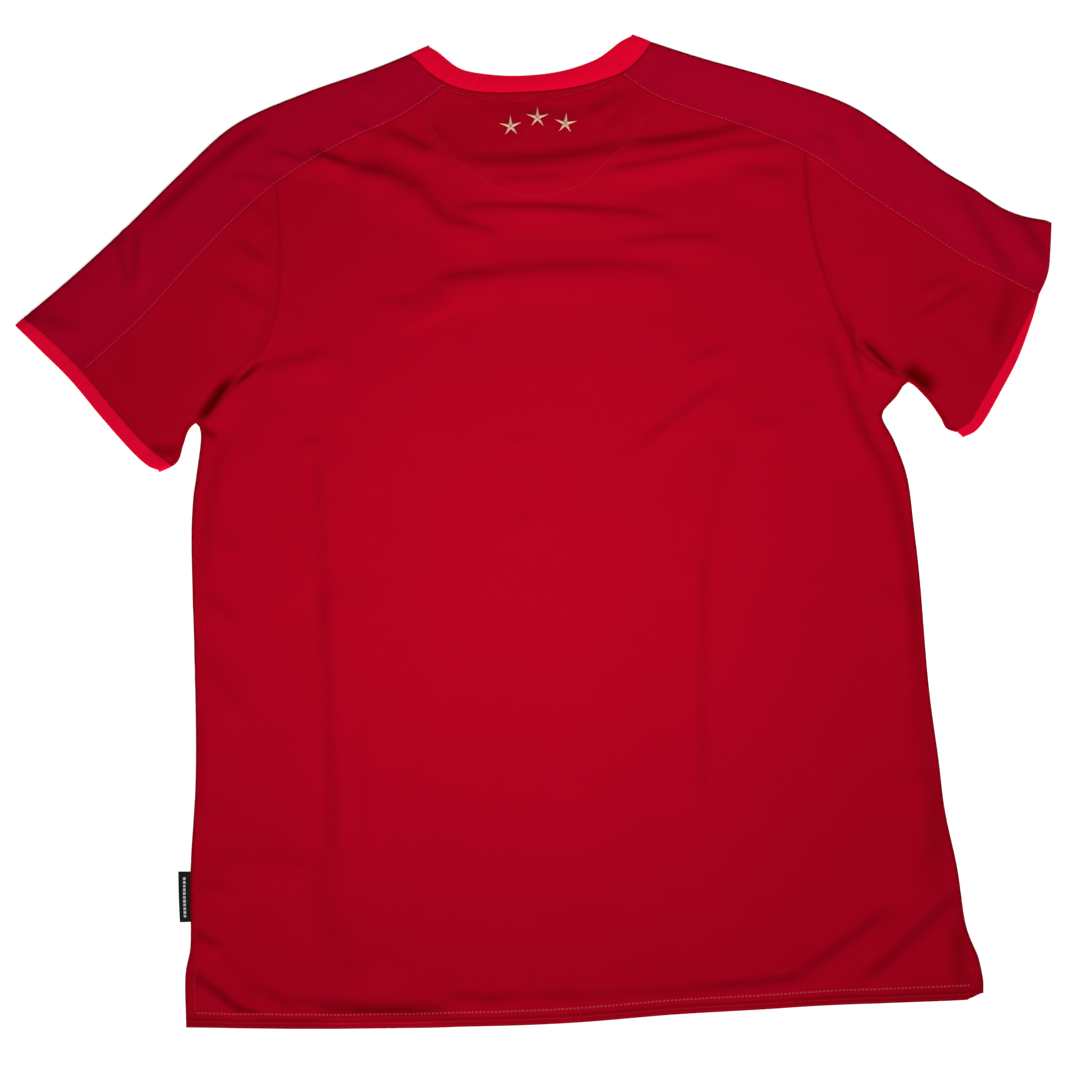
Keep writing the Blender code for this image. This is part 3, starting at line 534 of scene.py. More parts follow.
def graded(length, pitch, first=PLAIN, last=PLAIN):
    """Shares of a length: the close steps of either end, and even steps of about the pitch between."""
    first, last = np.array(first, dtype=float), length - np.array(last, dtype=float)[::-1]
    count = max(1, round((last[0] - first[-1]) / pitch))
    middle = np.linspace(first[-1], last[0], count + 1)[1:-1]
    return np.concatenate([first, middle, last]) / length


def paced(length, places, pitches, coarser, first, last):
    """Shares of a length: the close steps of either end, and steps that follow the pitches between."""
    first, last = np.array(first, dtype=float), length - np.array(last, dtype=float)[::-1]
    way = np.linspace(first[-1], last[0], PACE_STEPS)
    pace = 1 / (coarser * np.interp(way, places, pitches))
    steps = np.concatenate([[0.0], np.cumsum((pace[1:] + pace[:-1]) / 2 * np.diff(way))])
    count = max(1, round(steps[-1]))
    middle = np.interp(np.linspace(0, steps[-1], count + 1)[1:-1], steps, way)
    return np.concatenate([first, middle, last]) / length


def moved_line(rows, sense, widths):
    """The curve through the rows, moved sideways by each row's width."""
    middle = Line(rows)
    lengths = np.array([middle.where(row) for row in rows])
    spots = middle.at(lengths) + middle.sideways(lengths, sense) * np.array(widths)[:, None]
    return [Spot(*spot) for spot in spots]


LEFT = Flank("left", -1, STRAPS_LEFT, ARMHOLE_LEFT, BEND_LEFT, UNDERARM_LEFT, SIDE_LEFT, SLEEVE_END_LEFT,
             math.radians(45))
RIGHT = Flank("right", 1, STRAPS_RIGHT, ARMHOLE_RIGHT, BEND_RIGHT, UNDERARM_RIGHT, SIDE_RIGHT,
              SLEEVE_END_RIGHT, math.radians(-32))
FLANKS = (LEFT, RIGHT)


def turned_in(flank):
    """Whether the band of this sleeve lies inside the sleeve's end."""
    return flank.sleeve_end[0].width < CUFF_BAND


def shoulder_fold(flank):
    """The line round which the shoulder panel and both bands turn, from the collar's tip to the cuff's."""
    tip = COLLAR_TIP_LEFT if flank is LEFT else COLLAR_TIP_RIGHT
    end = flank.sleeve_end[0]
    folds = [row.fold for row in flank.straps]
    return Line([tip] + folds + ([] if turned_in(flank) else [Spot(end.x, end.y)]))


def lower_fold(flank):
    """The line round which the underarm and the side turn, from the cuff's tip to the hem."""
    end = flank.sleeve_end[-1]
    return Line([Spot(end.x, end.y)] + flank.underarm + flank.side[1:])


def neck_curves():
    """Seam and free edge of the neck band at the back, and at the front."""
    front_edge = moved_line(NECK_FRONT, 1, [NECK_BAND] * len(NECK_FRONT))[1:-1]
    edges = [Line([COLLAR_TIP_LEFT, *edge, COLLAR_TIP_RIGHT]) for edge in (NECK_BACK_EDGE, front_edge)]
    return Line(NECK_BACK), edges[0], Line(NECK_FRONT), edges[1]


def strap_line(flank, layer):
    """A shoulder panel's seam on one layer, or its fold."""
    if layer == "fold":
        return SHOULDER_FOLD[flank.name]
    return Line([getattr(row, layer) for row in flank.straps])


def sleeve_end_curves(flank):
    """Three curves across a sleeve's end: the band's free edge, the panels' end above and the one below."""
    rows = flank.sleeve_end
    above = moved_line(rows, -flank.outward, [row.width for row in rows])
    below = moved_line(rows, -flank.outward, [CUFF_BAND] * len(rows))
    above[0] = flank.straps[-1].fold
    above[-1] = below[-1] = flank.underarm[0]
    if not turned_in(flank):
        return Line(rows), Line(above), Line(above)
    fold = SHOULDER_FOLD[flank.name]
    return Line(rows), Line(above), Line([Spot(*fold.at(fold.where(below[0]))), below[0]], below)


SHOULDER_FOLD = {flank.name: shoulder_fold(flank) for flank in FLANKS}
LOWER_FOLD = {flank.name: lower_fold(flank) for flank in FLANKS}
ARMHOLE = {flank.name: Line(flank.armhole) for flank in FLANKS}
BACK_STRAP = {flank.name: strap_line(flank, "back") for flank in FLANKS}
SLEEVE_END = {flank.name: sleeve_end_curves(flank) for flank in FLANKS}
BACK_NECK, BACK_NECK_EDGE, FRONT_NECK, FRONT_NECK_EDGE = neck_curves()
TURNED = np.vstack([line.points for line in (*SHOULDER_FOLD.values(), *LOWER_FOLD.values())])
TUCKED = Line(SLEEVE_END_RIGHT).points
TAPE_LINE, HALF_MOON_LINE = Line(TAPE), Line(HALF_MOON)
HEM_EDGE = Line(HEM)
HEM_COURSE = Line(HEM[:-2], [HEM[-3], HEM_BEYOND])


# ---------------------------------------------------------------- relief of the upper layer

SEAMS = [
    *[Seam(BACK_STRAP[flank.name], 0.12, 1.5, 0.2, 8, 0.07) for flank in FLANKS],
    Seam(ARMHOLE["left"], 0.2, 2.2, 0.6, 6, 0.08),
    Seam(ARMHOLE["right"], 0.34, 2.8, 0.4, 10, 0.08),
    Seam(BACK_NECK, 0.4, 1.6, 0.4, 7, 0.12),
    Seam(SLEEVE_END["left"][1], 0.6, 1.6, 0.4, 6, 0.12),
    Seam(TAPE_LINE, 0.4, 1.4, 0.3, 6, 0.1),
    Seam(HALF_MOON_LINE, -0.2, 1.2, 0.2, 5, 0.08),
]
SEAM_PAINTED_SHADE = (0.8, 1.6)     # painted shade along each seam: shares of the groove's depth and of its half width
PUCKER_LENGTH = 10.5
PUCKER_REACH = 5.0
PUCKER_WANDER = (2.2, 17.0)  # by how much the puckers shift along the seam, and over what length
OVERLAPS = {"sleeve": (ARMHOLE, 0.35), "shoulder": (BACK_STRAP, 0.175)}      # height over the body
OVERLAP_REACH = 5.0
RIPPLE = (7, 24, 85, 14)     # seed, shortest and longest wave, and how many
HEM_RAISE = (0.3, 3.0, 2.5)  # of the double hem: height, how far past its upper line, over what it falls
HEM_GROOVE = (0.3, 1.3)      # depth and half width
HEM_PAINTED_SHADES = ((5.8, 2.3, 0.55), (2.6, 1.2, 0.4), (0.0, 1.3, 0.5))   # painted shade in bands along the hem: from the edge, half width and depth
STAR_PAINTED_SHADE = (0.3, 14.0)    # painted shade round the embroidery, and how far


def sewn(y):
    """1 where the sides are sewn together, falling to 0 at the free edges of the vents."""
    return ease((y - VENT_FREE) / (VENT_TOP - VENT_FREE))


def turn_radius(y):
    """Radius of the turned edge, which flattens out towards the vents."""
    return FREE_RADIUS + (FOLD_RADIUS - FREE_RADIUS) * sewn(y)


def distance(plan, points):
    """Distance of each plan point from the nearest of the points, of which every third is enough."""
    return np.min([np.hypot(plan[..., 0] - x, plan[..., 1] - y) for x, y in points[::3]], axis=0)


def nearest(plan, line, every=2):
    """Distance of each plan point from a curve, and how far along it the nearest place is.

    The curve is taken as the straight ways between every second of its points, or as told.
    """
    points = line.points[::every]
    best = np.full(plan.shape[:-1], np.inf)
    along = np.zeros(plan.shape[:-1])
    passed = 0.0
    for start, end in zip(points[:-1], points[1:]):
        way = end - start
        length = math.hypot(*way)
        if length == 0:
            continue
        east, north = plan[..., 0] - start[0], plan[..., 1] - start[1]
        share = np.clip((east * way[0] + north * way[1]) / length ** 2, 0, 1)
        gap = np.hypot(east - share * way[0], north - share * way[1])
        nearer = gap < best
        best[nearer] = gap[nearer]
        along[nearer] = passed + share[nearer] * length
        passed += length
    return best, along


def waves(plan, seed, shortest, longest, count):
    """Sum of sine waves with drawn ways, lengths and phases, from about -1 to 1."""
    draw = np.random.default_rng(seed)
    total = np.zeros(plan.shape[:-1])
    for _ in range(count):
        way = draw.uniform(0, 2 * math.pi)
        length = shortest * (longest / shortest) ** draw.uniform()
        phase = draw.uniform(0, 2 * math.pi)
        along = plan[..., 0] * math.cos(way) + plan[..., 1] * math.sin(way)
        total += np.sin(2 * math.pi * along / length + phase)
    return total / math.sqrt(2 * count)


def crease_height(plan):
    """Sum of the ridges and troughs, and the shade painted on them.

    Each is a raised cosine across, wider on its gentle flank, and eased at its ends. The crest of a ridge
    lies half of the steep reach to the right of the row's line, so that the flank is steepest on the
    line, and the height swells and sinks a little along the way. Painted shade follows the steepness on
    the steep flank, most where the fold runs up the shirt, and painted shade fills a trough.
    """
    total = np.zeros(plan.shape[:-1])
    hollow = np.zeros(plan.shape[:-1])
    swell, swell_length, shift = CREASE_SWELL
    for number, row in enumerate(CREASES):
        start, end = np.array([row.x1, row.y1]), np.array([row.x2, row.y2])
        length = np.linalg.norm(end - start)
        along = (end - start) / length
        left = np.array([-along[1], along[0]])
        s = np.clip((plan - start) @ along / length, 0, 1)
        off = (plan - start) @ left - row.bow * 4 * s * (1 - s)
        run = min(CREASE_END[0], CREASE_END[1] * length)
        ends = ease(s * length / run) * ease((1 - s) * length / run)
        ridge = row.height > 0
        side = off + row.steep / 2 * ridge
        across = hump(np.where(side > 0, side / row.steep, side / row.gentle))
        uneven = 1 + swell * np.sin(s * length / swell_length + number * shift)
        total += row.height * ends * uneven * across
        if ridge:
            upward = FLANK_PAINTED_SHADE[0] + FLANK_PAINTED_SHADE[1] * along[1] ** 2
            hollow += upward * row.height / row.steep * hump(off / (FLANK_WIDTH * row.steep)) * ends
        else:
            hollow -= TROUGH_PAINTED_SHADE * row.height * across * ends
    return total, hollow


def relief(plan, kind="body"):
    """Height of the middle of the upper layer, and the shade painted on it, from 0 to 1.

    It is flat on the lower layer, held up near a turned edge, and raised by the creases and by a soft
    ripple. Each seam lifts the cloth beside it and draws it down in a narrow groove, with small puckers.
    Shade is painted on crease flanks and troughs, turned edges, seam grooves, bands above the hem and round
    the stars.
    """
    size = sizes()
    gap = distance(plan, TURNED)
    held = 2 * (turn_radius(plan[..., 1]) - FREE_RADIUS) * np.exp(-(gap / EDGE_REACH) ** 2)
    tuck = (TUCK_REACH - distance(plan, TUCKED)) / (TUCK_REACH - TUCK_HELD)
    held = np.maximum(held, 2 * (FOLD_RADIUS - FREE_RADIUS) * ease(tuck))
    soft = size.ripple / MM * (0.5 + 0.5 * np.clip(waves(plan, *RIPPLE), -1, 1))
    clear = ease(gap / CREASE_CLEAR)
    folds, hollow = crease_height(plan)
    height = FLAT + held + (folds * size.crease + soft) * clear
    # painted shade along the turned edges
    hollow = np.maximum(hollow, EDGE_PAINTED_SHADE * hump(gap / EDGE_PAINTED_SHADE_REACH))
    for number, seam in enumerate(SEAMS):
        off, along = nearest(plan, seam.line)
        rise = seam.lift * np.exp(-(off / seam.reach) ** 2)
        dip = seam.groove * hump(off / seam.width)
        wander = along + PUCKER_WANDER[0] * np.sin(along / PUCKER_WANDER[1] + number)
        pucker = np.sin(2 * math.pi * wander / PUCKER_LENGTH) * np.exp(-(off / PUCKER_REACH) ** 2)
        height += (rise - dip + seam.pucker * pucker) * clear
        # painted shade along the seam's groove
        shade = SEAM_PAINTED_SHADE[0] * seam.groove * hump(off / (SEAM_PAINTED_SHADE[1] * seam.width))
        hollow = np.maximum(hollow, shade)
    if kind in OVERLAPS:
        curves, lift = OVERLAPS[kind]
        for curve in curves.values():
            off, _ = nearest(plan, curve, 4)
            height += lift * np.exp(-(off / OVERLAP_REACH) ** 2) * clear
    if kind == "body":
        hem, _ = nearest(plan, HEM_COURSE)
        raised, past, fall = HEM_RAISE
        height += raised * ease((HEM_LINES[1] + past - hem) / fall)
        for line in HEM_LINES:
            height -= HEM_GROOVE[0] * hump((hem - line) / HEM_GROOVE[1])
        # painted shade in bands along the hem
        for line, width, depth in HEM_PAINTED_SHADES:
            hollow = np.maximum(hollow, depth * hump((hem - line) / width))
        # painted shade round each star
        for spot in STAR_CENTRES:
            gap = np.hypot(plan[..., 0] - spot.x, plan[..., 1] - spot.y)
            hollow = np.maximum(hollow, STAR_PAINTED_SHADE[0] * hump(gap / STAR_PAINTED_SHADE[1]))
    return height, np.clip(hollow, 0, 1)


def upper(plan, grain=0.0, kind="body"):
    """The sheet of plan points raised to the upper layer."""
    height, hollow = relief(plan, kind)
    return Sheet(np.dstack([plan, height]), cloth_plan(plan, grain), hollow)


def lower(plan, grain=0.0):
    """The sheet of plan points on the lower layer."""
    flat = np.zeros(plan.shape[:-1])
    return Sheet(np.dstack([plan, flat + LOW]), cloth_plan(plan, grain), flat)


def turned(plan, angle):
    """Plan points turned clockwise about the origin."""
    c, s = math.cos(angle), math.sin(angle)
    return plan @ np.array([[c, -s], [s, c]])


def cloth_plan(plan, grain):
    """Plan points turned so that the knit's columns run along the second axis, in metres."""
    return turned(plan, grain) * MM


# ---------------------------------------------------------------- grids

def shares(one, other):
    """Shares of the length at which two opposite borders have their points, taken as a mean."""
    first, second = travelled(one), travelled(other)
    return (first / first[-1] + second / second[-1]) / 2


def patch(south, north, west, east):
    """Coons patch: the blend of both pairs of opposite borders less the blend of the four corners."""
    west, east = west.copy(), east.copy()
    west[0], west[-1] = south[0], north[0]
    east[0], east[-1] = south[-1], north[-1]
    u = shares(south, north)[None, :, None]
    v = shares(west, east)[:, None, None]
    rows = (1 - v) * south[None] + v * north[None]
    columns = (1 - u) * west[:, None] + u * east[:, None]
    corners = ((1 - v) * ((1 - u) * south[0] + u * south[-1]) + v * ((1 - u) * north[0] + u * north[-1]))
    return rows + columns - corners


def half_turn(top, bottom, out, angle):
    """Points on half circles from the upper layer's end round to the lower one's.

    Each row stands on the line between the two ends, at the sine of its angle outward and at the cosine
    of it in height, times half of the layers' difference in height.
    """
    share = (angle / math.pi)[..., None]
    radius, centre = (top[:, 2] - bottom[:, 2]) / 2, (top[:, 2] + bottom[:, 2]) / 2
    plan = (1 - share) * top[:, :2] + share * bottom[:, :2] + out * (radius * np.sin(angle))[..., None]
    return np.dstack([plan, centre + radius * np.cos(angle)])


def turned_over(top, bottom, out_top, out_bottom, grain):
    """The sheet of a half turn that joins the upper layer's end to the lower one's."""
    angle = math.pi * even(TURN_CELLS)[:, None]
    share = (angle / math.pi)[..., None]
    out = (1 - share) * out_top + share * out_bottom
    points = half_turn(top, bottom, out, angle)
    radius = (top[:, 2] - bottom[:, 2]) / 2
    cloth = cloth_plan(top[:, :2] + out * (radius * angle)[..., None], grain)
    # painted shade on the turn, full over its upper half and fading round to the lower layer
    hollow = EDGE_PAINTED_SHADE * hump(np.maximum(2 * angle / math.pi - 1, 0))
    return Sheet(points, cloth, np.broadcast_to(hollow, points.shape[:2]))


def side_flange(border, out, height_sign):
    """The sheet that turns a panel's side edge towards the other layer as far as the seam.

    Above the vent each row is a part of a quarter circle, and below it the turn opens until the edge
    runs out flat.
    """
    step = even(FLANGE_CELLS)[:, None]
    radius = turn_radius(border[:, 1])
    closed = sewn(border[:, 1])
    angle = np.arccos(HALF_GAP / radius) * closed * step
    reach = radius * np.sin(angle) + (1 - closed) * (radius + sizes().wall / MM / 2) * step
    height = border[:, 2] - height_sign * radius * (1 - np.cos(angle))
    points = np.dstack([border[:, :2] + out * reach[..., None], height])
    arc = radius * angle + (1 - closed) * radius * step
    # painted shade on the flange: all over it on the upper layer, growing towards the seam on the lower one
    hollow = EDGE_PAINTED_SHADE * (np.ones_like(step) if height_sign > 0 else step)
    return Sheet(points, cloth_plan(border[:, :2] + out * arc[..., None], 0.0),
                 np.broadcast_to(hollow, points.shape[:2]))


def drawn_back(sheet, **borders):
    """The sheet with slices of the named borders moved inward by half the gap, square to the seam."""
    grid = sheet.points.copy()
    for name, part in borders.items():
        view = grid.transpose(1, 0, 2) if name in ("west", "east") else grid
        edge, inner = (view[-1], view[-2]) if name in ("north", "east") else (view[0], view[1])
        inward, along = unit(inner - edge), unit(np.gradient(edge, axis=0))
        slant = np.linalg.norm(np.cross(inward, along), axis=1)
        shift = inward * (HALF_GAP / np.maximum(slant, SHARPEST))[:, None]
        edge[part] += shift[part]
    return sheet._replace(points=grid)


def flipped(sheet):
    """The sheet with its rows and columns exchanged."""
    return Sheet(sheet.points.transpose(1, 0, 2), sheet.cloth.transpose(1, 0, 2), sheet.hollow.T)


# ---------------------------------------------------------------- cloth pieces

def body_panel(layer):
    """The back or the front: one patch from the hem to the neck, with its sides turned to the seam."""
    is_back = layer == "back"
    neck = BACK_NECK if is_back else FRONT_NECK
    coarser = 1.0 if is_back else FRONT_COARSER
    seam_steps, corner_steps = (SEAM_STEPS, CORNER_STEPS) if is_back else (CORNER_STEPS, PLAIN)
    yoke = paced(YOKE[0], *YOKE_PACE, coarser, PLAIN, seam_steps)
    side = paced(SIDE, *SIDE_PACE, coarser, HEM_STEPS, corner_steps)
    armhole = graded(ARMHOLE_WAY[0], ARMHOLE_WAY[1] * coarser, corner_steps, seam_steps)
    yokes, flanks, outs = [], [], []
    for flank in FLANKS:
        first, corner = (getattr(flank.straps[row], layer) for row in (0, ARMHOLE_ROW))
        yokes.append(strap_line(flank, layer).between(first, corner, yoke))
        edge = LOWER_FOLD[flank.name]
        lengths = edge.run(flank.side[-1], flank.side[0], side)
        hole = ARMHOLE[flank.name].between(flank.armhole[-1], flank.armhole[0], armhole)
        flanks.append(np.vstack([edge.at(lengths), hole[1:]]))
        outs.append(edge.sideways(lengths, flank.outward))
    across = neck.between(yokes[0][0], yokes[1][0], even(round(NECK_CELLS / coarser)))
    north = np.vstack([yokes[0][::-1], across[1:-1], yokes[1]])
    south = HEM_EDGE.at(HEM_EDGE.lengths[-1] * shares(north, north))
    plan = patch(south, north, *flanks)
    sheet = upper(plan) if is_back else lower(plan)
    above = slice(len(side), None)
    sheet = drawn_back(sheet, north=WHOLE, west=above, east=above)
    sides = [side_flange(sheet.points[:len(side), column], out, 1 if is_back else -1)
             for column, out in zip((0, -1), outs)]
    return [sheet, *map(flipped, sides)]


def shoulder_panel(flank):
    """A strip from the collar to the cuff, folded over the shoulder from its back to its front seam."""
    _, end_above, end_below = SLEEVE_END[flank.name]
    first, last = flank.straps[0], flank.straps[-1]
    lines, along = {}, {}
    for layer in Strap._fields:
        lines[layer] = line = strap_line(flank, layer)
        spots = [getattr(flank.straps[row], layer) for row in (0, ARMHOLE_ROW, -1)]
        yoke = line.run(spots[0], spots[1], graded(*YOKE, SEAM_STEPS, PLAIN))
        arm = line.run(spots[1], spots[2], graded(*ARM, PLAIN, SEAM_STEPS))
        along[layer] = np.concatenate([yoke, arm[1:]])
    fold, fold_high = lines["fold"], along["fold"]
    fold_end = end_below.at(0.0)
    start = fold.where(first.fold)
    fold_low = start + (fold_high - start) * ((fold.where(fold_end) - start) / (fold_high[-1] - start))
    across, across_low = graded(*STRAP_ABOVE, SEAM_STEPS, PLAIN), graded(*STRAP_BELOW, PLAIN, CORNER_STEPS)
    above = patch(lines["back"].at(along["back"]), fold.at(fold_high),
                  BACK_NECK.between(first.back, first.fold, across),
                  end_above.between(last.back, last.fold, across))
    below = patch(fold.at(fold_low), lines["front"].at(along["front"]),
                  FRONT_NECK.between(first.fold, first.front, across_low),
                  end_below.between(fold_end, last.front, across_low))
    top, bottom = upper(above, flank.grain, "shoulder"), lower(below, flank.grain)
    turn = turned_over(top.points[-1], bottom.points[0], fold.sideways(fold_high, flank.outward),
                       fold.sideways(fold_low, flank.outward), flank.grain)
    top = drawn_back(top, south=WHOLE, west=WHOLE, east=WHOLE)
    bottom = drawn_back(bottom, north=WHOLE, west=WHOLE, east=WHOLE)
    turn = drawn_back(turn, west=WHOLE, east=WHOLE)
    turn.points[0], turn.points[-1] = top.points[-1], bottom.points[0]
    return [top, turn, bottom]


def sleeve(flank):
    """The rest of a sleeve: from the back seam round the underarm to the front seam.

    Each layer is one patch between the shoulder panel's seam and the way from the armhole's bend
    through the armpit to the cuff, and the turn joins the layers between the armpit and the cuff.
    """
    _, end_above, end_below = SLEEVE_END[flank.name]
    edge, hole = LOWER_FOLD[flank.name], ARMHOLE[flank.name]
    gusset = hole.between(flank.bend, flank.armhole[-1], graded(*GUSSET, SEAM_STEPS, CORNER_STEPS))
    under = edge.run(flank.armhole[-1], flank.underarm[0], graded(*UNDERARM, CORNER_STEPS, SEAM_STEPS))
    armpit = len(gusset) - 1
    way = np.vstack([gusset, edge.at(under)[1:]])
    pitch = ARM[0] / (len(way) - 2 * len(SEAM_STEPS) + 1)
    layers = []
    for layer, end, down in (("back", end_above, graded(*SLEEVE_ABOVE, SEAM_STEPS, SEAM_STEPS)),
                             ("front", end_below, graded(*SLEEVE_BELOW))):
        line = strap_line(flank, layer)
        spots = [getattr(flank.straps[row], layer) for row in (ARMHOLE_ROW, -1)]
        south = line.run(spots[0], spots[1], graded(ARM[0], pitch, SEAM_STEPS, SEAM_STEPS))
        plan = patch(line.at(resampled(south, len(way))), way,
                     hole.between(flank.armhole[0], flank.bend, down),
                     end.between(spots[1], flank.underarm[0], down))
        sheet = upper(plan, flank.grain, "sleeve") if layer == "back" else lower(plan, flank.grain)
        layers.append(drawn_back(sheet, south=WHOLE, west=WHOLE, east=WHOLE, north=slice(armpit)))
    top, bottom = (sheet.points[-1, armpit:] for sheet in layers)
    out = edge.sideways(under, flank.outward)
    return layers + [turned_over(top, bottom, out, out, flank.grain)]


def resampled(lengths, count):
    """The same run of lengths with another count of points, denser where the run is denser."""
    return np.interp(np.linspace(0, 1, count), np.linspace(0, 1, len(lengths)), lengths)


# ---------------------------------------------------------------- bands

def band_half():
    """Half of the thickness of the rib bands, in millimetres."""
    return sizes().band_wall / MM / 2


def flat_ring(top, bottom, out_start, out_end):
    """Stations round a flattened band: along its upper strip, round one end, back below and round again.

    top and bottom hold each station's seam point and edge point. At either end the stations go round
    the half circle between the layers, and the normal of a station points out of the ring.
    """
    angle = math.pi * even(TURN_CELLS)[1:-1, None]
    end, start = (half_turn(top[row], bottom[row], out, angle)
                  for row, out in ((-1, out_end), (0, out_start)))
    end_normal, start_normal = (np.column_stack([np.sin(angle) * out, np.cos(angle)])
                                for out in (out_end, out_start))
    points = np.concatenate([top, end, bottom[::-1], start[::-1]])
    normal = np.concatenate([np.tile([0.0, 0, 1], (len(top), 1)), end_normal,
                             np.tile([0.0, 0, -1], (len(bottom), 1)), start_normal[::-1]])
    return Ring(points[:, 0], points[:, 1], normal)


def band_sheet(ring, crown, gap):
    """The closed skin of a rib band: its profile, carried round the ring.

    The profile goes up the outer face from the seam, round the free edge on a half circle of the half
    thickness, and back down the inner face. The outer face is crowned by a sine across its width.
    """
    half = band_half()
    way = ring.edge - ring.seam
    width = np.linalg.norm(way, axis=1, keepdims=True)
    way = way / np.maximum(width, TINY)
    face = even(BAND_FACE_CELLS)
    turn = math.pi * even(BAND_TURN_CELLS)[1:-1]
    share = np.concatenate([[0.0], face, 0 * turn + 1, face[::-1], [0.0]])
    past = np.concatenate([[0.0], 0 * face, np.sin(turn), 0 * face, [0.0]])
    side = np.concatenate([[0.0], 0 * face + 1, np.cos(turn), 0 * face - 1, [0.0]])
    bulge = np.concatenate([[0.0], np.sin(math.pi * face), 0 * turn, 0 * face, [0.0]])
    rounded = np.ones(len(share))
    rounded[[1, -2]] = BAND_CORNER
    rounded[[0, -1]] = 0
    reach = gap + np.maximum(width - half - gap, BAND_LEAST) * share + half * past
    upward = np.maximum(ring.normal[:, 2], 0)[:, None]
    rise = (side * half + bulge * crown * upward) * rounded
    points = ring.seam[:, None] + way[:, None] * reach[..., None] + ring.normal[:, None] * rise[..., None]
    lengths = travelled((ring.seam + ring.edge) / 2)
    cloth = np.dstack([np.broadcast_to(lengths[:, None], reach.shape), reach]) * MM
    # painted shade on the outer face beside the seam
    hollow = np.broadcast_to(hump(share / BAND_SHADE) * (side > 0), reach.shape)
    return Sheet(points, cloth, hollow)


def band_ring(strips, out_start, out_end, inside=False):
    """The flattened ring of a band, from the plans of its upper and its lower strip.

    The upper one follows the cloth's relief, with its underside level with the cloth's, or lies flat in
    a sleeve's end, and the lower one lies on the surface.
    """
    above, below = strips
    height = 0 * above[..., 0] + FLAT + TUCK_LIFT
    if not inside:
        height = relief(above, "band")[0] + band_half() - LOW
    return flat_ring(np.dstack([above, height]), np.dstack([below, 0 * below[..., 0] + band_half()]),
                     out_start, out_end)


def cuff_ring(flank):
    """A sleeve band between its seam and its free edge. One that is turned in lies inside the end."""
    edge, above, below = SLEEVE_END[flank.name]
    inside = turned_in(flank)
    upper_inset, lower_inset = TUCK_INSET if inside else (0.0, 0.0)
    strips = []
    for seam, border in ((below if inside else above, CUFF_ABOVE), (below, CUFF_BELOW)):
        start, end = seam.where(seam.corner), seam.lengths[-1]
        lengths = start + upper_inset + (end - start - upper_inset - lower_inset) * graded(*border)
        outer = edge.at(edge.lengths[-1] * (lengths - start) / (end - start))
        strips.append(np.stack([seam.at(lengths), outer], axis=1))
    shoulder, underarm = SHOULDER_FOLD[flank.name], LOWER_FOLD[flank.name]
    return band_ring(strips, shoulder.sideways(shoulder.lengths[-1:], flank.outward),
                     underarm.sideways(underarm.lengths[:1], flank.outward), inside)


def collar_ring():
    """The neck band: a flattened ring, shallow at the back and deep at the front."""
    strips, outs = [], []
    for seam, edge, pitch in ((BACK_NECK, BACK_NECK_EDGE, COLLAR_ABOVE),
                              (FRONT_NECK, FRONT_NECK_EDGE, COLLAR_BELOW)):
        share = graded(seam.lengths[-1], pitch)
        strips.append(np.stack([line.at(line.lengths[-1] * share) for line in (seam, edge)], axis=1))
    for flank in FLANKS:
        fold = SHOULDER_FOLD[flank.name]
        outs.append(fold.sideways(np.array([fold.where(flank.straps[0].fold)]), flank.outward))
    return band_ring(strips, *outs)


# ---------------------------------------------------------------- stitches, stars and label

def stitch_template():
    """A thread's loop of unit half length and unit half thickness: three rings between two poles."""
    step = np.arange(STITCH_AROUND)
    turn = step * 2 * math.pi / STITCH_AROUND + math.pi / 2
    points = [(-1.0, 0.0, 0.0)]
    for x, r in STITCH_RINGS:
        points += [(x, r * math.cos(a), r * math.sin(a)) for a in turn]
    points.append((1.0, 0.0, 0.0))
    sides = list(zip(step, (step + 1) % STITCH_AROUND))
    last = len(points) - 1
    base = last - STITCH_AROUND
    faces = [[0, 1 + b, 1 + a] for a, b in sides]
    faces += grid_faces(len(STITCH_RINGS), STITCH_AROUND, 1, False, True).tolist()
    faces += [[base + a, base + b, last] for a, b in sides]
    return np.array(points), faces


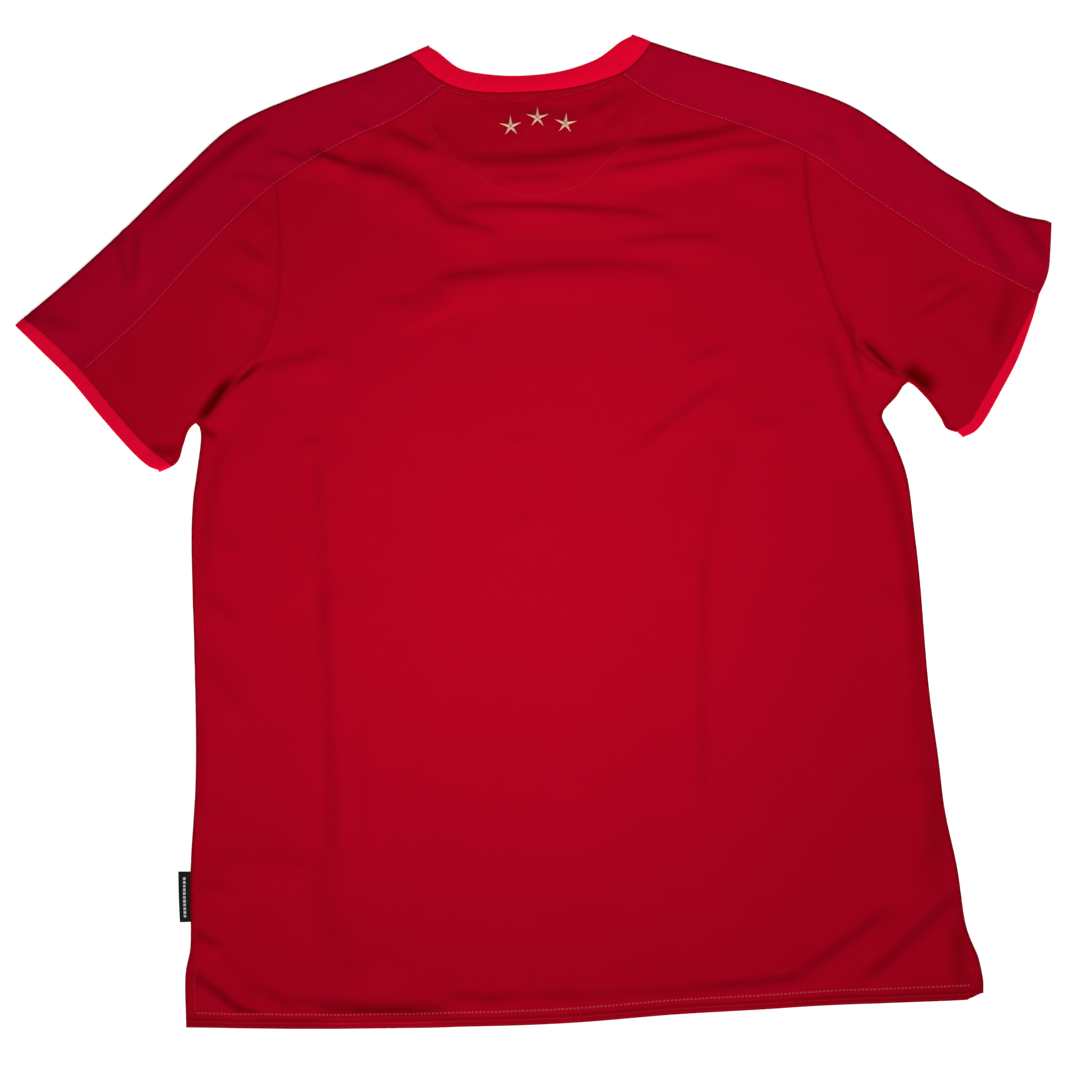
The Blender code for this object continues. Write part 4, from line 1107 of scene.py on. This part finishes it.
def stitches(lines, seed, low=False):
    """Points and faces of stitches along plan runs of points, each one lying on the cloth.

    A stitch is the unit loop stretched along the way and sunk a little into the cloth's face. Its length,
    its place and its turn vary by drawn numbers. Low ones are in the underside of the lower layer.
    """
    size = sizes()
    draw = np.random.default_rng(seed)
    length, pitch, thread = size.stitch / MM, size.pitch / MM, size.thread / MM
    template, faces = stitch_template()
    centres, ways = [], []
    for points in lines:
        lengths = travelled(points)
        count = int(lengths[-1] / pitch)
        at = (np.arange(count) + 0.5) * pitch + draw.uniform(-STITCH_SHIFT, STITCH_SHIFT, count)
        here, there = (at_lengths(at + reach, lengths, points) for reach in (-STITCH_WINDOW, STITCH_WINDOW))
        centres.append((here + there) / 2)
        ways.append(unit(there - here))
    centre, way = np.vstack(centres), np.vstack(ways)
    turn = draw.uniform(-STITCH_TURN, STITCH_TURN, len(centre))[:, None]
    side = np.stack([-way[:, 1], way[:, 0]], axis=-1)
    way = way + side * turn
    half = (length / 2 * draw.uniform(*STITCH_LENGTHS, len(centre)))[:, None]
    if low:
        heights = [np.full(len(centre), thread * STITCH_PROUD)] * 2
    else:
        heights = [relief((centre + way * half * end)[None], "band")[0][0] + size.wall / MM / 2
                   + thread * STITCH_PROUD for end in (-1, 1)]
    middle = np.column_stack([centre, (heights[0] + heights[1]) / 2])
    forward = np.column_stack([way * half, (heights[1] - heights[0]) / 2])
    across = np.column_stack([side, np.zeros(len(side))]) * thread / 2
    up = np.tile([0.0, 0.0, thread / 2], (len(side), 1))
    cloud = (middle[:, None] + forward[:, None] * template[None, :, :1]
             + across[:, None] * template[None, :, 1:2] + up[:, None] * template[None, :, 2:3])
    copies = range(0, cloud.shape[0] * cloud.shape[1], len(template))
    return cloud.reshape(-1, 3), [[corner + start for corner in face] for start in copies for face in faces]


def offset_run(line, start, short, sense, away):
    """Plan points of a curve from a length along it to a little short of its end, moved sideways."""
    end = line.lengths[-1] - short
    lengths = np.linspace(start, end, max(2, int((end - start) / RUN_PITCH)))
    return line.at(lengths) + line.sideways(lengths, sense) * away


def star_outline(radius):
    """Points round a star of five narrow arms, and each one's share of the way from a tip to a corner."""
    corner = np.arange(2 * STAR_ARMS + 1)
    turn = corner * math.pi / STAR_ARMS
    reach = np.where(corner % 2 == 0, radius, radius * STAR_WAIST)
    spots = np.column_stack([reach * np.sin(turn), reach * np.cos(turn)])
    t = np.linspace(0, 1, STAR_EDGE_CELLS, endpoint=False)
    points = (spots[:-1, None] * (1 - t[:, None]) + spots[1:, None] * t[:, None]).reshape(-1, 2)
    share = np.where((corner[:-1] % 2 == 0)[:, None], t, 1 - t).reshape(-1)
    return points, share


def star_sheet(centre, turn):
    """One embroidered star on the cloth.

    Rows go from its middle to its outline and down to the cloth. The height falls as the root of the
    share that is left to the outline, and from the crest along each arm to the valley between two arms.
    """
    size = sizes()
    outline, valley = star_outline(size.star / MM)
    reach = np.hypot(*outline.T)
    around = np.arctan2(outline[:, 0], outline[:, 1])
    stretch = 1 + STAR_TALLER * np.cos(around) * (reach / reach.max())
    outline = turned(outline * stretch[:, None], -turn)
    skirt_shares, skirt_heights = STAR_SKIRT
    share = np.concatenate([np.linspace(skirt_shares[-1], 1, STAR_ROWS), skirt_shares])[:, None]
    plan = np.array([centre.x, centre.y]) + outline[None] * share[..., None]
    crest = size.star_height / MM * (1 - STAR_VALLEY * valley) * np.sqrt(np.maximum(1 - share, 0))
    drop = np.concatenate([np.full(STAR_ROWS, STAR_EDGE), skirt_heights])[:, None]
    height = relief(plan, "band")[0] + size.wall / MM / 2 + crest + drop
    arm_turn = 2 * math.pi / STAR_ARMS
    off_arm = around - np.round(around / arm_turn) * arm_turn
    along = reach * np.cos(off_arm) * share
    across = np.abs(reach * np.sin(off_arm)) * share
    # painted shade in the valleys between the arms, near the middle
    return Sheet(np.dstack([plan, height]), np.dstack([along, across]) * MM, valley ** 2 * hump(share))


def label_sheet():
    """The woven tab, which leaves the side seam and slopes down to its free edge in a soft wave."""
    edge = LOWER_FOLD["left"]
    across, along = (even(cells) for cells in LABEL_CELLS)
    lengths = edge.where(Spot(SIDE_LEFT[0].x, LABEL_TOP)) - LABEL_ABOVE + LABEL_LENGTH * along
    seam, out = edge.at(lengths), edge.sideways(lengths, LEFT.outward)
    radius = turn_radius(seam[:, 1])
    share = across[:, None]
    reach = radius + LABEL_START + share * (LABEL_REACH - LABEL_TAPER * along)
    wave = LABEL_WAVE[0] * np.sin(math.pi * share) * np.sin(lengths / LABEL_WAVE[1])
    points = np.dstack([seam + out * reach[..., None], LOW + radius - share + wave])
    cloth = np.dstack([0 * reach + lengths, reach]) * MM
    return Sheet(points, cloth, np.zeros(reach.shape))


def label_ticks(tab):
    """Points of the small woven bars in a column down the tab, each a grid that makes a low rounded block.

    The outermost points of a grid are the block's foot, the next ones its shoulder and the middle its top.
    """
    x, y = TICK_X[None, :], TICK_Y[:, None]
    up = np.full((len(TICK_Y), len(TICK_X)), TICK_FOOT)
    up[1:-1, 1:-1] = TICK_SHOULDER
    up[2:-2, 2:-2] = TICK_TOP
    column = int(TICK_COLUMN)
    blocks = []
    for number, share in enumerate(np.linspace(*TICK_PLACES, TICKS)):
        along = share * LABEL_CELLS[1]
        base = int(along)
        spot = tab.points[:, base] * (1 - along + base) + tab.points[:, base + 1] * (along - base)
        ahead = unit(tab.points[column, base + 1] - tab.points[column, base])
        side = unit(spot[column + 2] - spot[column - 1])
        centre = spot[column] + (spot[column + 1] - spot[column]) * (TICK_COLUMN - column)
        tall = TICK_HALF + TICK_VARIES * math.sin(number * TICK_SHIFT)
        block = centre + side * (TICK_HALF * x)[..., None] + ahead * (tall * y)[..., None]
        block[..., 2] += up
        blocks.append(block)
    return blocks


# ---------------------------------------------------------------- meshes

def grid_faces(rows, columns, start, wrap_rows, wrap_columns):
    """Quads of a grid whose first point has the number start. A wrapped grid's last row meets its first."""
    corner = np.arange(rows * columns).reshape(rows, columns) + start
    if wrap_rows:
        corner = np.vstack([corner, corner[:1]])
    if wrap_columns:
        corner = np.hstack([corner, corner[:, :1]])
    quads = np.stack([corner[:-1, :-1], corner[:-1, 1:], corner[1:, 1:], corner[1:, :-1]], axis=-1)
    return quads.reshape(-1, 4)


def placed(name, data):
    """An object of this data, linked to the scene."""
    made = bpy.data.objects.new(name, data)
    bpy.context.scene.collection.objects.link(made)
    return made


def new_piece(name, finish, points, faces, cloth=None, hollow=None, weld=True):
    """A mesh object at the origin from points in millimetres, with its cloth plan and its painted shade."""
    mesh = bpy.data.meshes.new(name)
    mesh.from_pydata((points * MM).tolist(), [], faces if isinstance(faces, list) else faces.tolist())
    if cloth is not None:
        layer = mesh.uv_layers.new(name="cloth")
        order = np.zeros(len(mesh.loops), dtype=np.int32)
        mesh.loops.foreach_get("vertex_index", order)
        layer.data.foreach_set("uv", cloth[order].astype(np.float32).ravel())
    if hollow is not None:
        layer = mesh.attributes.new("hollow", "FLOAT", "POINT")
        layer.data.foreach_set("value", hollow.astype(np.float32))
    work = bmesh.new()
    work.from_mesh(mesh)
    if weld:
        bmesh.ops.remove_doubles(work, verts=work.verts, dist=WELD * MM)
    bmesh.ops.recalc_face_normals(work, faces=work.faces)
    work.to_mesh(mesh)
    work.free()
    mesh.materials.append(finish)
    piece = placed(name, mesh)
    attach(piece, BODY)
    return piece


def joined(sheets, wrap_rows=False, wrap_columns=False):
    """Points, faces, cloth plan and painted shade of several sheets in one run."""
    points, faces, start = [], [], 0
    for sheet in sheets:
        rows, columns = sheet.points.shape[:2]
        faces.append(grid_faces(rows, columns, start, wrap_rows, wrap_columns))
        start += rows * columns
    points = np.vstack([sheet.points.reshape(-1, 3) for sheet in sheets])
    cloth = np.vstack([sheet.cloth.reshape(-1, 2) for sheet in sheets])
    hollow = np.concatenate([np.asarray(sheet.hollow).reshape(-1) for sheet in sheets])
    return points, np.vstack(faces), cloth, hollow


def settle(piece, angle=CLOTH_SHARP):
    """Apply the piece's modifiers and shade it smooth, with sharp edges above the angle."""
    depsgraph = bpy.context.evaluated_depsgraph_get()
    done = bpy.data.meshes.new_from_object(piece.evaluated_get(depsgraph))
    piece.modifiers.clear()
    piece.data = done
    done.name = piece.name
    done.shade_smooth()
    done.set_sharp_from_angle(angle=math.radians(angle))
    return piece


def cloth_piece(name, sheets, finish, wall=None):
    """A shell of cloth whose wall lies evenly on both sides of the joined sheets, with rounded ends."""
    size = sizes()
    piece = new_piece(name, finish, *joined(sheets))
    shell = piece.modifiers.new("wall", "SOLIDIFY")
    shell.thickness = size.wall if wall is None else wall
    shell.offset = 0.0
    shell.use_quality_normals = True
    soft = piece.modifiers.new("rounded", "BEVEL")
    soft.width = size.ease
    soft.segments = 2
    soft.limit_method = "ANGLE"
    soft.angle_limit = math.radians(BEVEL_SHARP)
    soft.use_clamp_overlap = True
    soft.loop_slide = False
    return settle(piece)


def closed_piece(name, sheet, finish, wrap_rows=False, angle=CLOTH_SHARP):
    """A closed skin whose profile lies in the sheet's columns."""
    return settle(new_piece(name, finish, *joined([sheet], wrap_rows, True)), angle)


# ---------------------------------------------------------------- finishes

class Value:
    """A shader socket that adds its Math nodes when an expression uses it."""

    def __init__(self, finish, socket):
        self.finish = finish
        self.socket = socket

    def _math(self, operation, *values):
        return self.finish.node("ShaderNodeMath", {"operation": operation},
                                **{f"_{number}": value for number, value in enumerate(values)})

    def __add__(self, other):
        return self._math("ADD", self, other)

    def __sub__(self, other):
        return self._math("SUBTRACT", self, other)

    def __rsub__(self, other):
        return self._math("SUBTRACT", other, self)

    def __mul__(self, other):
        return self._math("MULTIPLY", self, other)

    __radd__ = __add__

    def sine(self):
        """Sine of the value."""
        return self._math("SINE", self)

    def part(self):
        """What is left of the value after its whole number."""
        return self._math("FRACT", self)

    def size(self):
        """The value without its sign."""
        return self._math("ABSOLUTE", self)

    def wave(self, pitch):
        """A sine wave from 0 to 1 along the value, with its pitch in millimetres."""
        return (self * (2 * math.pi / (pitch * MM))).sine() * 0.5 + 0.5


class Finish:
    """A material whose shader is made of a few nodes."""

    def __init__(self, name, **constants):
        self.material = bpy.data.materials.new(name)
        self.material.use_nodes = True
        self.tree = self.material.node_tree
        self.shader = self.tree.nodes["Principled BSDF"]
        for key, value in constants.items():
            self.shader.inputs[key.replace("_", " ")].default_value = value

    def node(self, kind, settings=None, output=0, **values):
        """A node of this type with its settings, then its sockets by name, or by number after a line."""
        made = self.tree.nodes.new(kind)
        for key, value in (settings or {}).items():
            setattr(made, key, value)
        for key, value in values.items():
            name = key.replace("_", " ").strip()
            socket = made.inputs[int(name)] if name.isdigit() else made.inputs[name]
            self.give(socket, value)
        return Value(self, made.outputs[output])

    def give(self, socket, value):
        """Link the value to the socket, or set it there."""
        if isinstance(value, Value):
            self.tree.links.new(value.socket, socket)
        else:
            socket.default_value = value

    def feed(self, name, value):
        """Give the shader's own socket a value."""
        self.give(self.shader.inputs[name], value)

    def cloth(self):
        """Across and along the knit, in metres, from the piece's own cloth plan."""
        plan = self.node("ShaderNodeUVMap", {"uv_map": "cloth"})
        split = self.node("ShaderNodeSeparateXYZ", None, 0, Vector=plan)
        return split, Value(self, split.socket.node.outputs[1])

    def noise(self, scale, detail):
        """Noise over the object, from 0 to 1."""
        place = self.node("ShaderNodeTexCoord", None, "Object")
        return self.node("ShaderNodeTexNoise", None, "Fac", Vector=place, Scale=scale, Detail=detail)

    def hollow(self):
        """The shade painted here, from 0 to 1, read from the piece's attribute."""
        return self.node("ShaderNodeAttribute", {"attribute_name": "hollow"}, "Fac")

    def blend(self, first, second, factor):
        """From one colour to another by a factor."""
        return self.node("ShaderNodeMix", {"data_type": "RGBA"}, 2, _0=factor, _6=first, _7=second)

    def bump(self, height, strength, distance):
        """Raise the surface by a height, which is a share of the distance in millimetres."""
        self.feed("Normal", self.node("ShaderNodeBump", None, 0, Strength=strength,
                                      Distance=distance * MM, Height=height))


def rgba(colour, share=1.0):
    """A colour as four numbers, made darker or lighter by a share."""
    return tuple(min(1.0, part * share) for part in colour) + (1.0,)


def deep(colour, share):
    """A red darkened by a share, with an eighth of its blue left: the dark end of painted shade and tone.
    """
    return rgba((colour[0], colour[1], colour[2] * 0.12), share)


def knit_finish(name, colour):
    """Fine knit: rounded columns with a chevron of loops, faint cloudiness, and painted shade on creases,
    seams and edges.
    """
    finish = Finish(name, Roughness=0.82, Specular_IOR_Level=0.03, Specular_Tint=rgba((1.0, 0.05, 0.05)),
                    Sheen_Weight=0.15, Sheen_Roughness=0.5, Sheen_Tint=rgba((1.0, 0.0, 0.05)))
    across, along = finish.cloth()
    place = (across * (1 / (KNIT_COLUMN * MM))).part()
    rib = (place * math.pi).sine()
    slant = (place - 0.5).size() * 0.9
    loop = ((along * (1 / (KNIT_COURSE * MM)) + slant) * (2 * math.pi)).sine() * 0.5 + 0.5
    cloud = finish.noise(9.0, 3.0)
    fine = finish.noise(140.0, 2.0)
    # towards the deep colour by the painted shade, and by the cloud, columns and fine noise as tone
    shade = finish.hollow() * 0.9 + (1 - cloud) * 0.12 + (1 - rib) * 0.045 + (1 - fine) * 0.035
    finish.feed("Base Color", finish.blend(rgba(colour, 1.07), deep(colour, 0.36), shade))
    finish.feed("Roughness", 0.78 + fine * 0.12)
    finish.bump(rib * (loop * 0.45 + 0.55), 0.35, 0.22)
    return finish.material


def rib_finish(name, colour):
    """Rib knit: rounded columns across the band, faint loops, deeper in the furrows, and painted shade
    beside the seam.
    """
    finish = Finish(name, Roughness=0.8, Specular_IOR_Level=0.06, Specular_Tint=rgba((1.0, 0.12, 0.12)),
                    Sheen_Weight=0.22, Sheen_Roughness=0.5, Sheen_Tint=rgba((1.0, 0.04, 0.08)))
    along, across = finish.cloth()
    rib = ((along * (1 / (RIB_COLUMN * MM))).part() * math.pi).sine()
    loop = across.wave(RIB_COURSE)
    cloud = finish.noise(30.0, 2.0)
    shade = (1 - rib) * 0.1 + (1 - cloud) * 0.08 + finish.hollow() * 0.35
    finish.feed("Base Color", finish.blend(rgba(colour, 1.05), rgba(colour, 0.6), shade))
    finish.feed("Roughness", 0.75 + cloud * 0.12)
    finish.bump(rib * (loop * 0.25 + 0.75), 0.4, 0.3)
    return finish.material


def thread_finish(name, colour):
    """Twisted sewing thread: fine slanted strands."""
    finish = Finish(name, Roughness=0.6, Specular_IOR_Level=0.15, Sheen_Weight=0.15, Sheen_Roughness=0.4)
    strand = finish.noise(2600.0, 1.0)
    finish.feed("Base Color", finish.blend(rgba(colour, 0.8), rgba(colour, 1.12), strand))
    finish.bump(strand, 0.3, 0.1)
    return finish.material


def satin_finish(name, colour):
    """Satin embroidery: threads that slant from the crest of each arm to its edge, with painted shade in
    the middle.
    """
    finish = Finish(name, Roughness=0.42, Specular_IOR_Level=0.35, Specular_Tint=rgba((1.0, 0.85, 0.5)),
                    Sheen_Weight=0.1)
    along, across = finish.cloth()
    strand = (along + across * 0.8).wave(SATIN_PITCH)
    cloud = finish.noise(420.0, 2.0)
    # the brown is the colour of the painted shade in the valleys; strands and cloud add tone
    shade = finish.hollow() * 0.8 + (1 - strand) * 0.06 + (1 - cloud) * 0.06
    finish.feed("Base Color", finish.blend(rgba(colour, 1.08), (0.12, 0.05, 0.012, 1.0), shade))
    finish.bump(strand, 0.35, 0.1)
    return finish.material


def woven_finish(name, colour):
    """Woven tape: a fine plain weave."""
    finish = Finish(name, Roughness=0.7, Specular_IOR_Level=0.25)
    along, across = finish.cloth()
    warp, weft = along.wave(WARP_PITCH), across.wave(WEFT_PITCH)
    finish.feed("Base Color", finish.blend(rgba(colour, 0.7), rgba(colour, 1.3), warp * weft))
    finish.bump(warp * weft, 0.4, 0.1)
    return finish.material


def floor_finish(name, colour):
    """Smooth pale card, very slightly uneven in tone."""
    finish = Finish(name, Roughness=0.95, Specular_IOR_Level=0.05, Emission_Strength=0.8,
                    Emission_Color=(1.0, 1.0, 1.0, 1.0))
    cloud = finish.noise(1.5, 2.0)
    finish.feed("Base Color", finish.blend(rgba(colour, 0.99), rgba(colour, 1.01), cloud))
    return finish.material


# ---------------------------------------------------------------- operators

def declare(node):
    """Hide the imported part that the cloth piece stands for."""
    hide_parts(node)


class JERSEY_OT_body(bpy.types.Operator):
    """Back and front of the body, from the hem to the neck and the armholes"""
    bl_idname = "jersey.body"
    bl_label = "Body"

    def execute(self, context):
        """Build both panels."""
        finish = knit_finish("crimson knit", colours().crimson)
        front = cloth_piece("front_cloth", body_panel("front"), finish)
        declare("front_panel")
        back = cloth_piece("back_cloth", body_panel("back"), finish)
        declare("back_panel")
        return {"FINISHED"}


class JERSEY_OT_shoulders(bpy.types.Operator):
    """Shoulder panels, each one strip folded over the shoulder from the collar to the cuff"""
    bl_idname = "jersey.shoulders"
    bl_label = "Shoulder panels"

    def execute(self, context):
        """Build both panels."""
        finish = knit_finish("shoulder knit", colours().shoulder)
        for flank in FLANKS:
            piece = cloth_piece("shoulder_cloth_" + flank.name, shoulder_panel(flank), finish)
            declare("shoulder_panel_" + flank.name)
        return {"FINISHED"}


class JERSEY_OT_sleeves(bpy.types.Operator):
    """Sleeves, each folded at the underarm and set into its armhole"""
    bl_idname = "jersey.sleeves"
    bl_label = "Sleeves"

    def execute(self, context):
        """Build both sleeves."""
        finish = knit_finish("sleeve knit", colours().crimson)
        for flank in FLANKS:
            piece = cloth_piece("sleeve_cloth_" + flank.name, sleeve(flank), finish)
            declare("sleeve_" + flank.name)
        return {"FINISHED"}


class JERSEY_OT_bands(bpy.types.Operator):
    """Rib bands of the neck and of the sleeve ends"""
    bl_idname = "jersey.bands"
    bl_label = "Neck and sleeve bands"

    def execute(self, context):
        """Build the three bands."""
        finish = rib_finish("neck rib", colours().collar)
        piece = closed_piece("collar_rib", band_sheet(collar_ring(), COLLAR_CROWN, HALF_GAP), finish, True)
        declare("collar_band")
        finish = rib_finish("sleeve rib", colours().cuff)
        for flank in FLANKS:
            skin = band_sheet(cuff_ring(flank), CUFF_CROWN, CUFF_GAP)
            piece = closed_piece("cuff_rib_" + flank.name, skin, finish, True)
            declare("cuff_" + flank.name)
        return {"FINISHED"}


class JERSEY_OT_stitching(bpy.types.Operator):
    """Topstitching of the shoulder seams, the neck facing, the hem and the vents"""
    bl_idname = "jersey.stitching"
    bl_label = "Stitching"

    def execute(self, context):
        """Build the stitches of each thread."""
        straps = [offset_run(BACK_STRAP[flank.name], *STRAP_ENDS, flank.outward, STRAP_BESIDE)
                  for flank in FLANKS]
        hems = [offset_run(HEM_COURSE, *HEM_ENDS, 1, away)
                for away in (*HEM_LINES, HEM_LINES[1] + HEM_DOUBLE)]
        vents = []
        for flank, top in zip(FLANKS, VENT_LINE_TOPS):
            edge = LOWER_FOLD[flank.name]
            start = edge.where(Spot(flank.side[-1].x, top))
            vents.append(offset_run(edge, start, HEM_LINES[1], -flank.outward, VENT_LINE))
        facing = [TAPE_LINE.points, HALF_MOON_LINE.points]
        pale = thread_finish("seam thread", colours().pale_thread)
        own = thread_finish("facing thread", colours().own_thread)
        light = thread_finish("hem thread", colours().light_thread)
        for name, lines, seed, finish, low in (("shoulder_stitching", straps, 11, pale, False),
                                               ("hem_stitching", hems[1:], 12, light, False),
                                               ("hem_edge_stitching", hems[:1] + vents, 13, own, False),
                                               ("neck_stitching", facing, 14, own, False),
                                               ("front_hem_stitching", hems[:2], 15, pale, True)):
            piece = settle(new_piece(name, finish, *stitches(lines, seed, low), weld=False), STITCH_SHARP)
        return {"FINISHED"}


class JERSEY_OT_stars(bpy.types.Operator):
    """Three embroidered stars under the neck band"""
    bl_idname = "jersey.stars"
    bl_label = "Stars"

    def execute(self, context):
        """Build each star."""
        finish = satin_finish("gold satin thread", colours().gold)
        for number, (centre, turn) in enumerate(zip(STAR_CENTRES, STAR_TURNS), 1):
            closed_piece(f"star_{number}", star_sheet(centre, turn), finish, angle=STAR_SHARP)
        return {"FINISHED"}


class JERSEY_OT_label(bpy.types.Operator):
    """Woven tab in the side seam, with plain ticks"""
    bl_idname = "jersey.label"
    bl_label = "Side label"

    def execute(self, context):
        """Build the tab and its ticks."""
        tab = label_sheet()
        tape = woven_finish("label tape", colours().label)
        piece = cloth_piece("label_tab", [tab], tape, LABEL_WALL * MM)
        thread = woven_finish("label thread", colours().mark)
        sheets = [Sheet(block, block[..., :2] * MM, 0 * block[..., 2]) for block in label_ticks(tab)]
        ticks = settle(new_piece("label_ticks", thread, *joined(sheets)[:3]), TICK_SHARP)
        declare("side_label")
        return {"FINISHED"}


class JERSEY_OT_stage(bpy.types.Operator):
    """Pale floor, soft studio light and the camera above the shirt"""
    bl_idname = "jersey.stage"
    bl_label = "Stage"

    def execute(self, context):
        """Build the floor, the lights and the camera."""
        scene = context.scene
        mesh = bpy.data.meshes.new("floor")
        corners = [(x * FLOOR_HALF, y * FLOOR_HALF, -FLOOR_UNDER)
                   for x, y in ((-1, -1), (1, -1), (1, 1), (-1, 1))]
        mesh.from_pydata(corners, [], [(0, 1, 2, 3)])
        mesh.materials.append(floor_finish("pale floor", colours().floor))
        placed("floor", mesh)
        sun = bpy.data.lights.new("key", "SUN")
        sun.energy, sun.angle, turn = SUN
        placed("key", sun).rotation_euler = turn
        for name, place, power in LAMPS:
            area = bpy.data.lights.new(name, "AREA")
            area.shape = "DISK"
            area.size = LAMP_SIZE
            area.energy = power
            lamp = placed(name, area)
            lamp.location = place
            lamp.visible_camera = False
        world = bpy.data.worlds.new("studio")
        world.use_nodes = True
        back = world.node_tree.nodes["Background"]
        back.inputs["Color"].default_value = (1.0, 1.0, 1.0, 1.0)
        back.inputs["Strength"].default_value = SKY
        scene.world = world
        scene.view_settings.view_transform = "Standard"
        lens = bpy.data.cameras.new("camera")
        lens.lens = LENS
        lens.sensor_width = SENSOR
        camera = placed("camera", lens)
        x, y = CAMERA_TARGET
        camera.location = (x, y - CAMERA_REACH * math.sin(CAMERA_TILT),
                           CAMERA_REACH * math.cos(CAMERA_TILT))
        camera.rotation_euler = (CAMERA_TILT, 0.0, 0.0)
        scene.camera = camera
        return {"FINISHED"}


class JERSEY_PT_panel(bpy.types.Panel):
    """Sizes, colours and steps of the jersey"""
    bl_label = "Football jersey"
    bl_idname = "JERSEY_PT_panel"
    bl_space_type = "VIEW_3D"
    bl_region_type = "UI"
    bl_category = "Jersey"

    def draw(self, context):
        """List the settings and the steps."""
        for group in (context.scene.jersey_sizes, context.scene.jersey_colours):
            column = self.layout.column()
            for key in group.__annotations__:
                column.prop(group, key)
        for step in OPERATORS:
            self.layout.operator(step.bl_idname)


OPERATORS = (JERSEY_OT_body, JERSEY_OT_shoulders, JERSEY_OT_sleeves, JERSEY_OT_bands, JERSEY_OT_stitching,
             JERSEY_OT_stars, JERSEY_OT_label, JERSEY_OT_stage)
CLASSES = (JerseySizes, JerseyColours, *OPERATORS, JERSEY_PT_panel)


def register():
    """Add the classes and the settings."""
    for one in CLASSES:
        bpy.utils.register_class(one)
    bpy.types.Scene.jersey_sizes = bpy.props.PointerProperty(type=JerseySizes)
    bpy.types.Scene.jersey_colours = bpy.props.PointerProperty(type=JerseyColours)


def unregister():
    """Remove the settings and the classes."""
    del bpy.types.Scene.jersey_sizes
    del bpy.types.Scene.jersey_colours
    for one in reversed(CLASSES):
        bpy.utils.unregister_class(one)


def main():
    """Register the add-on and take every step."""
    register()
    for step in OPERATORS:
        group, name = step.bl_idname.split(".")
        getattr(getattr(bpy.ops, group), name)()


if __name__ == "__main__":
    main()
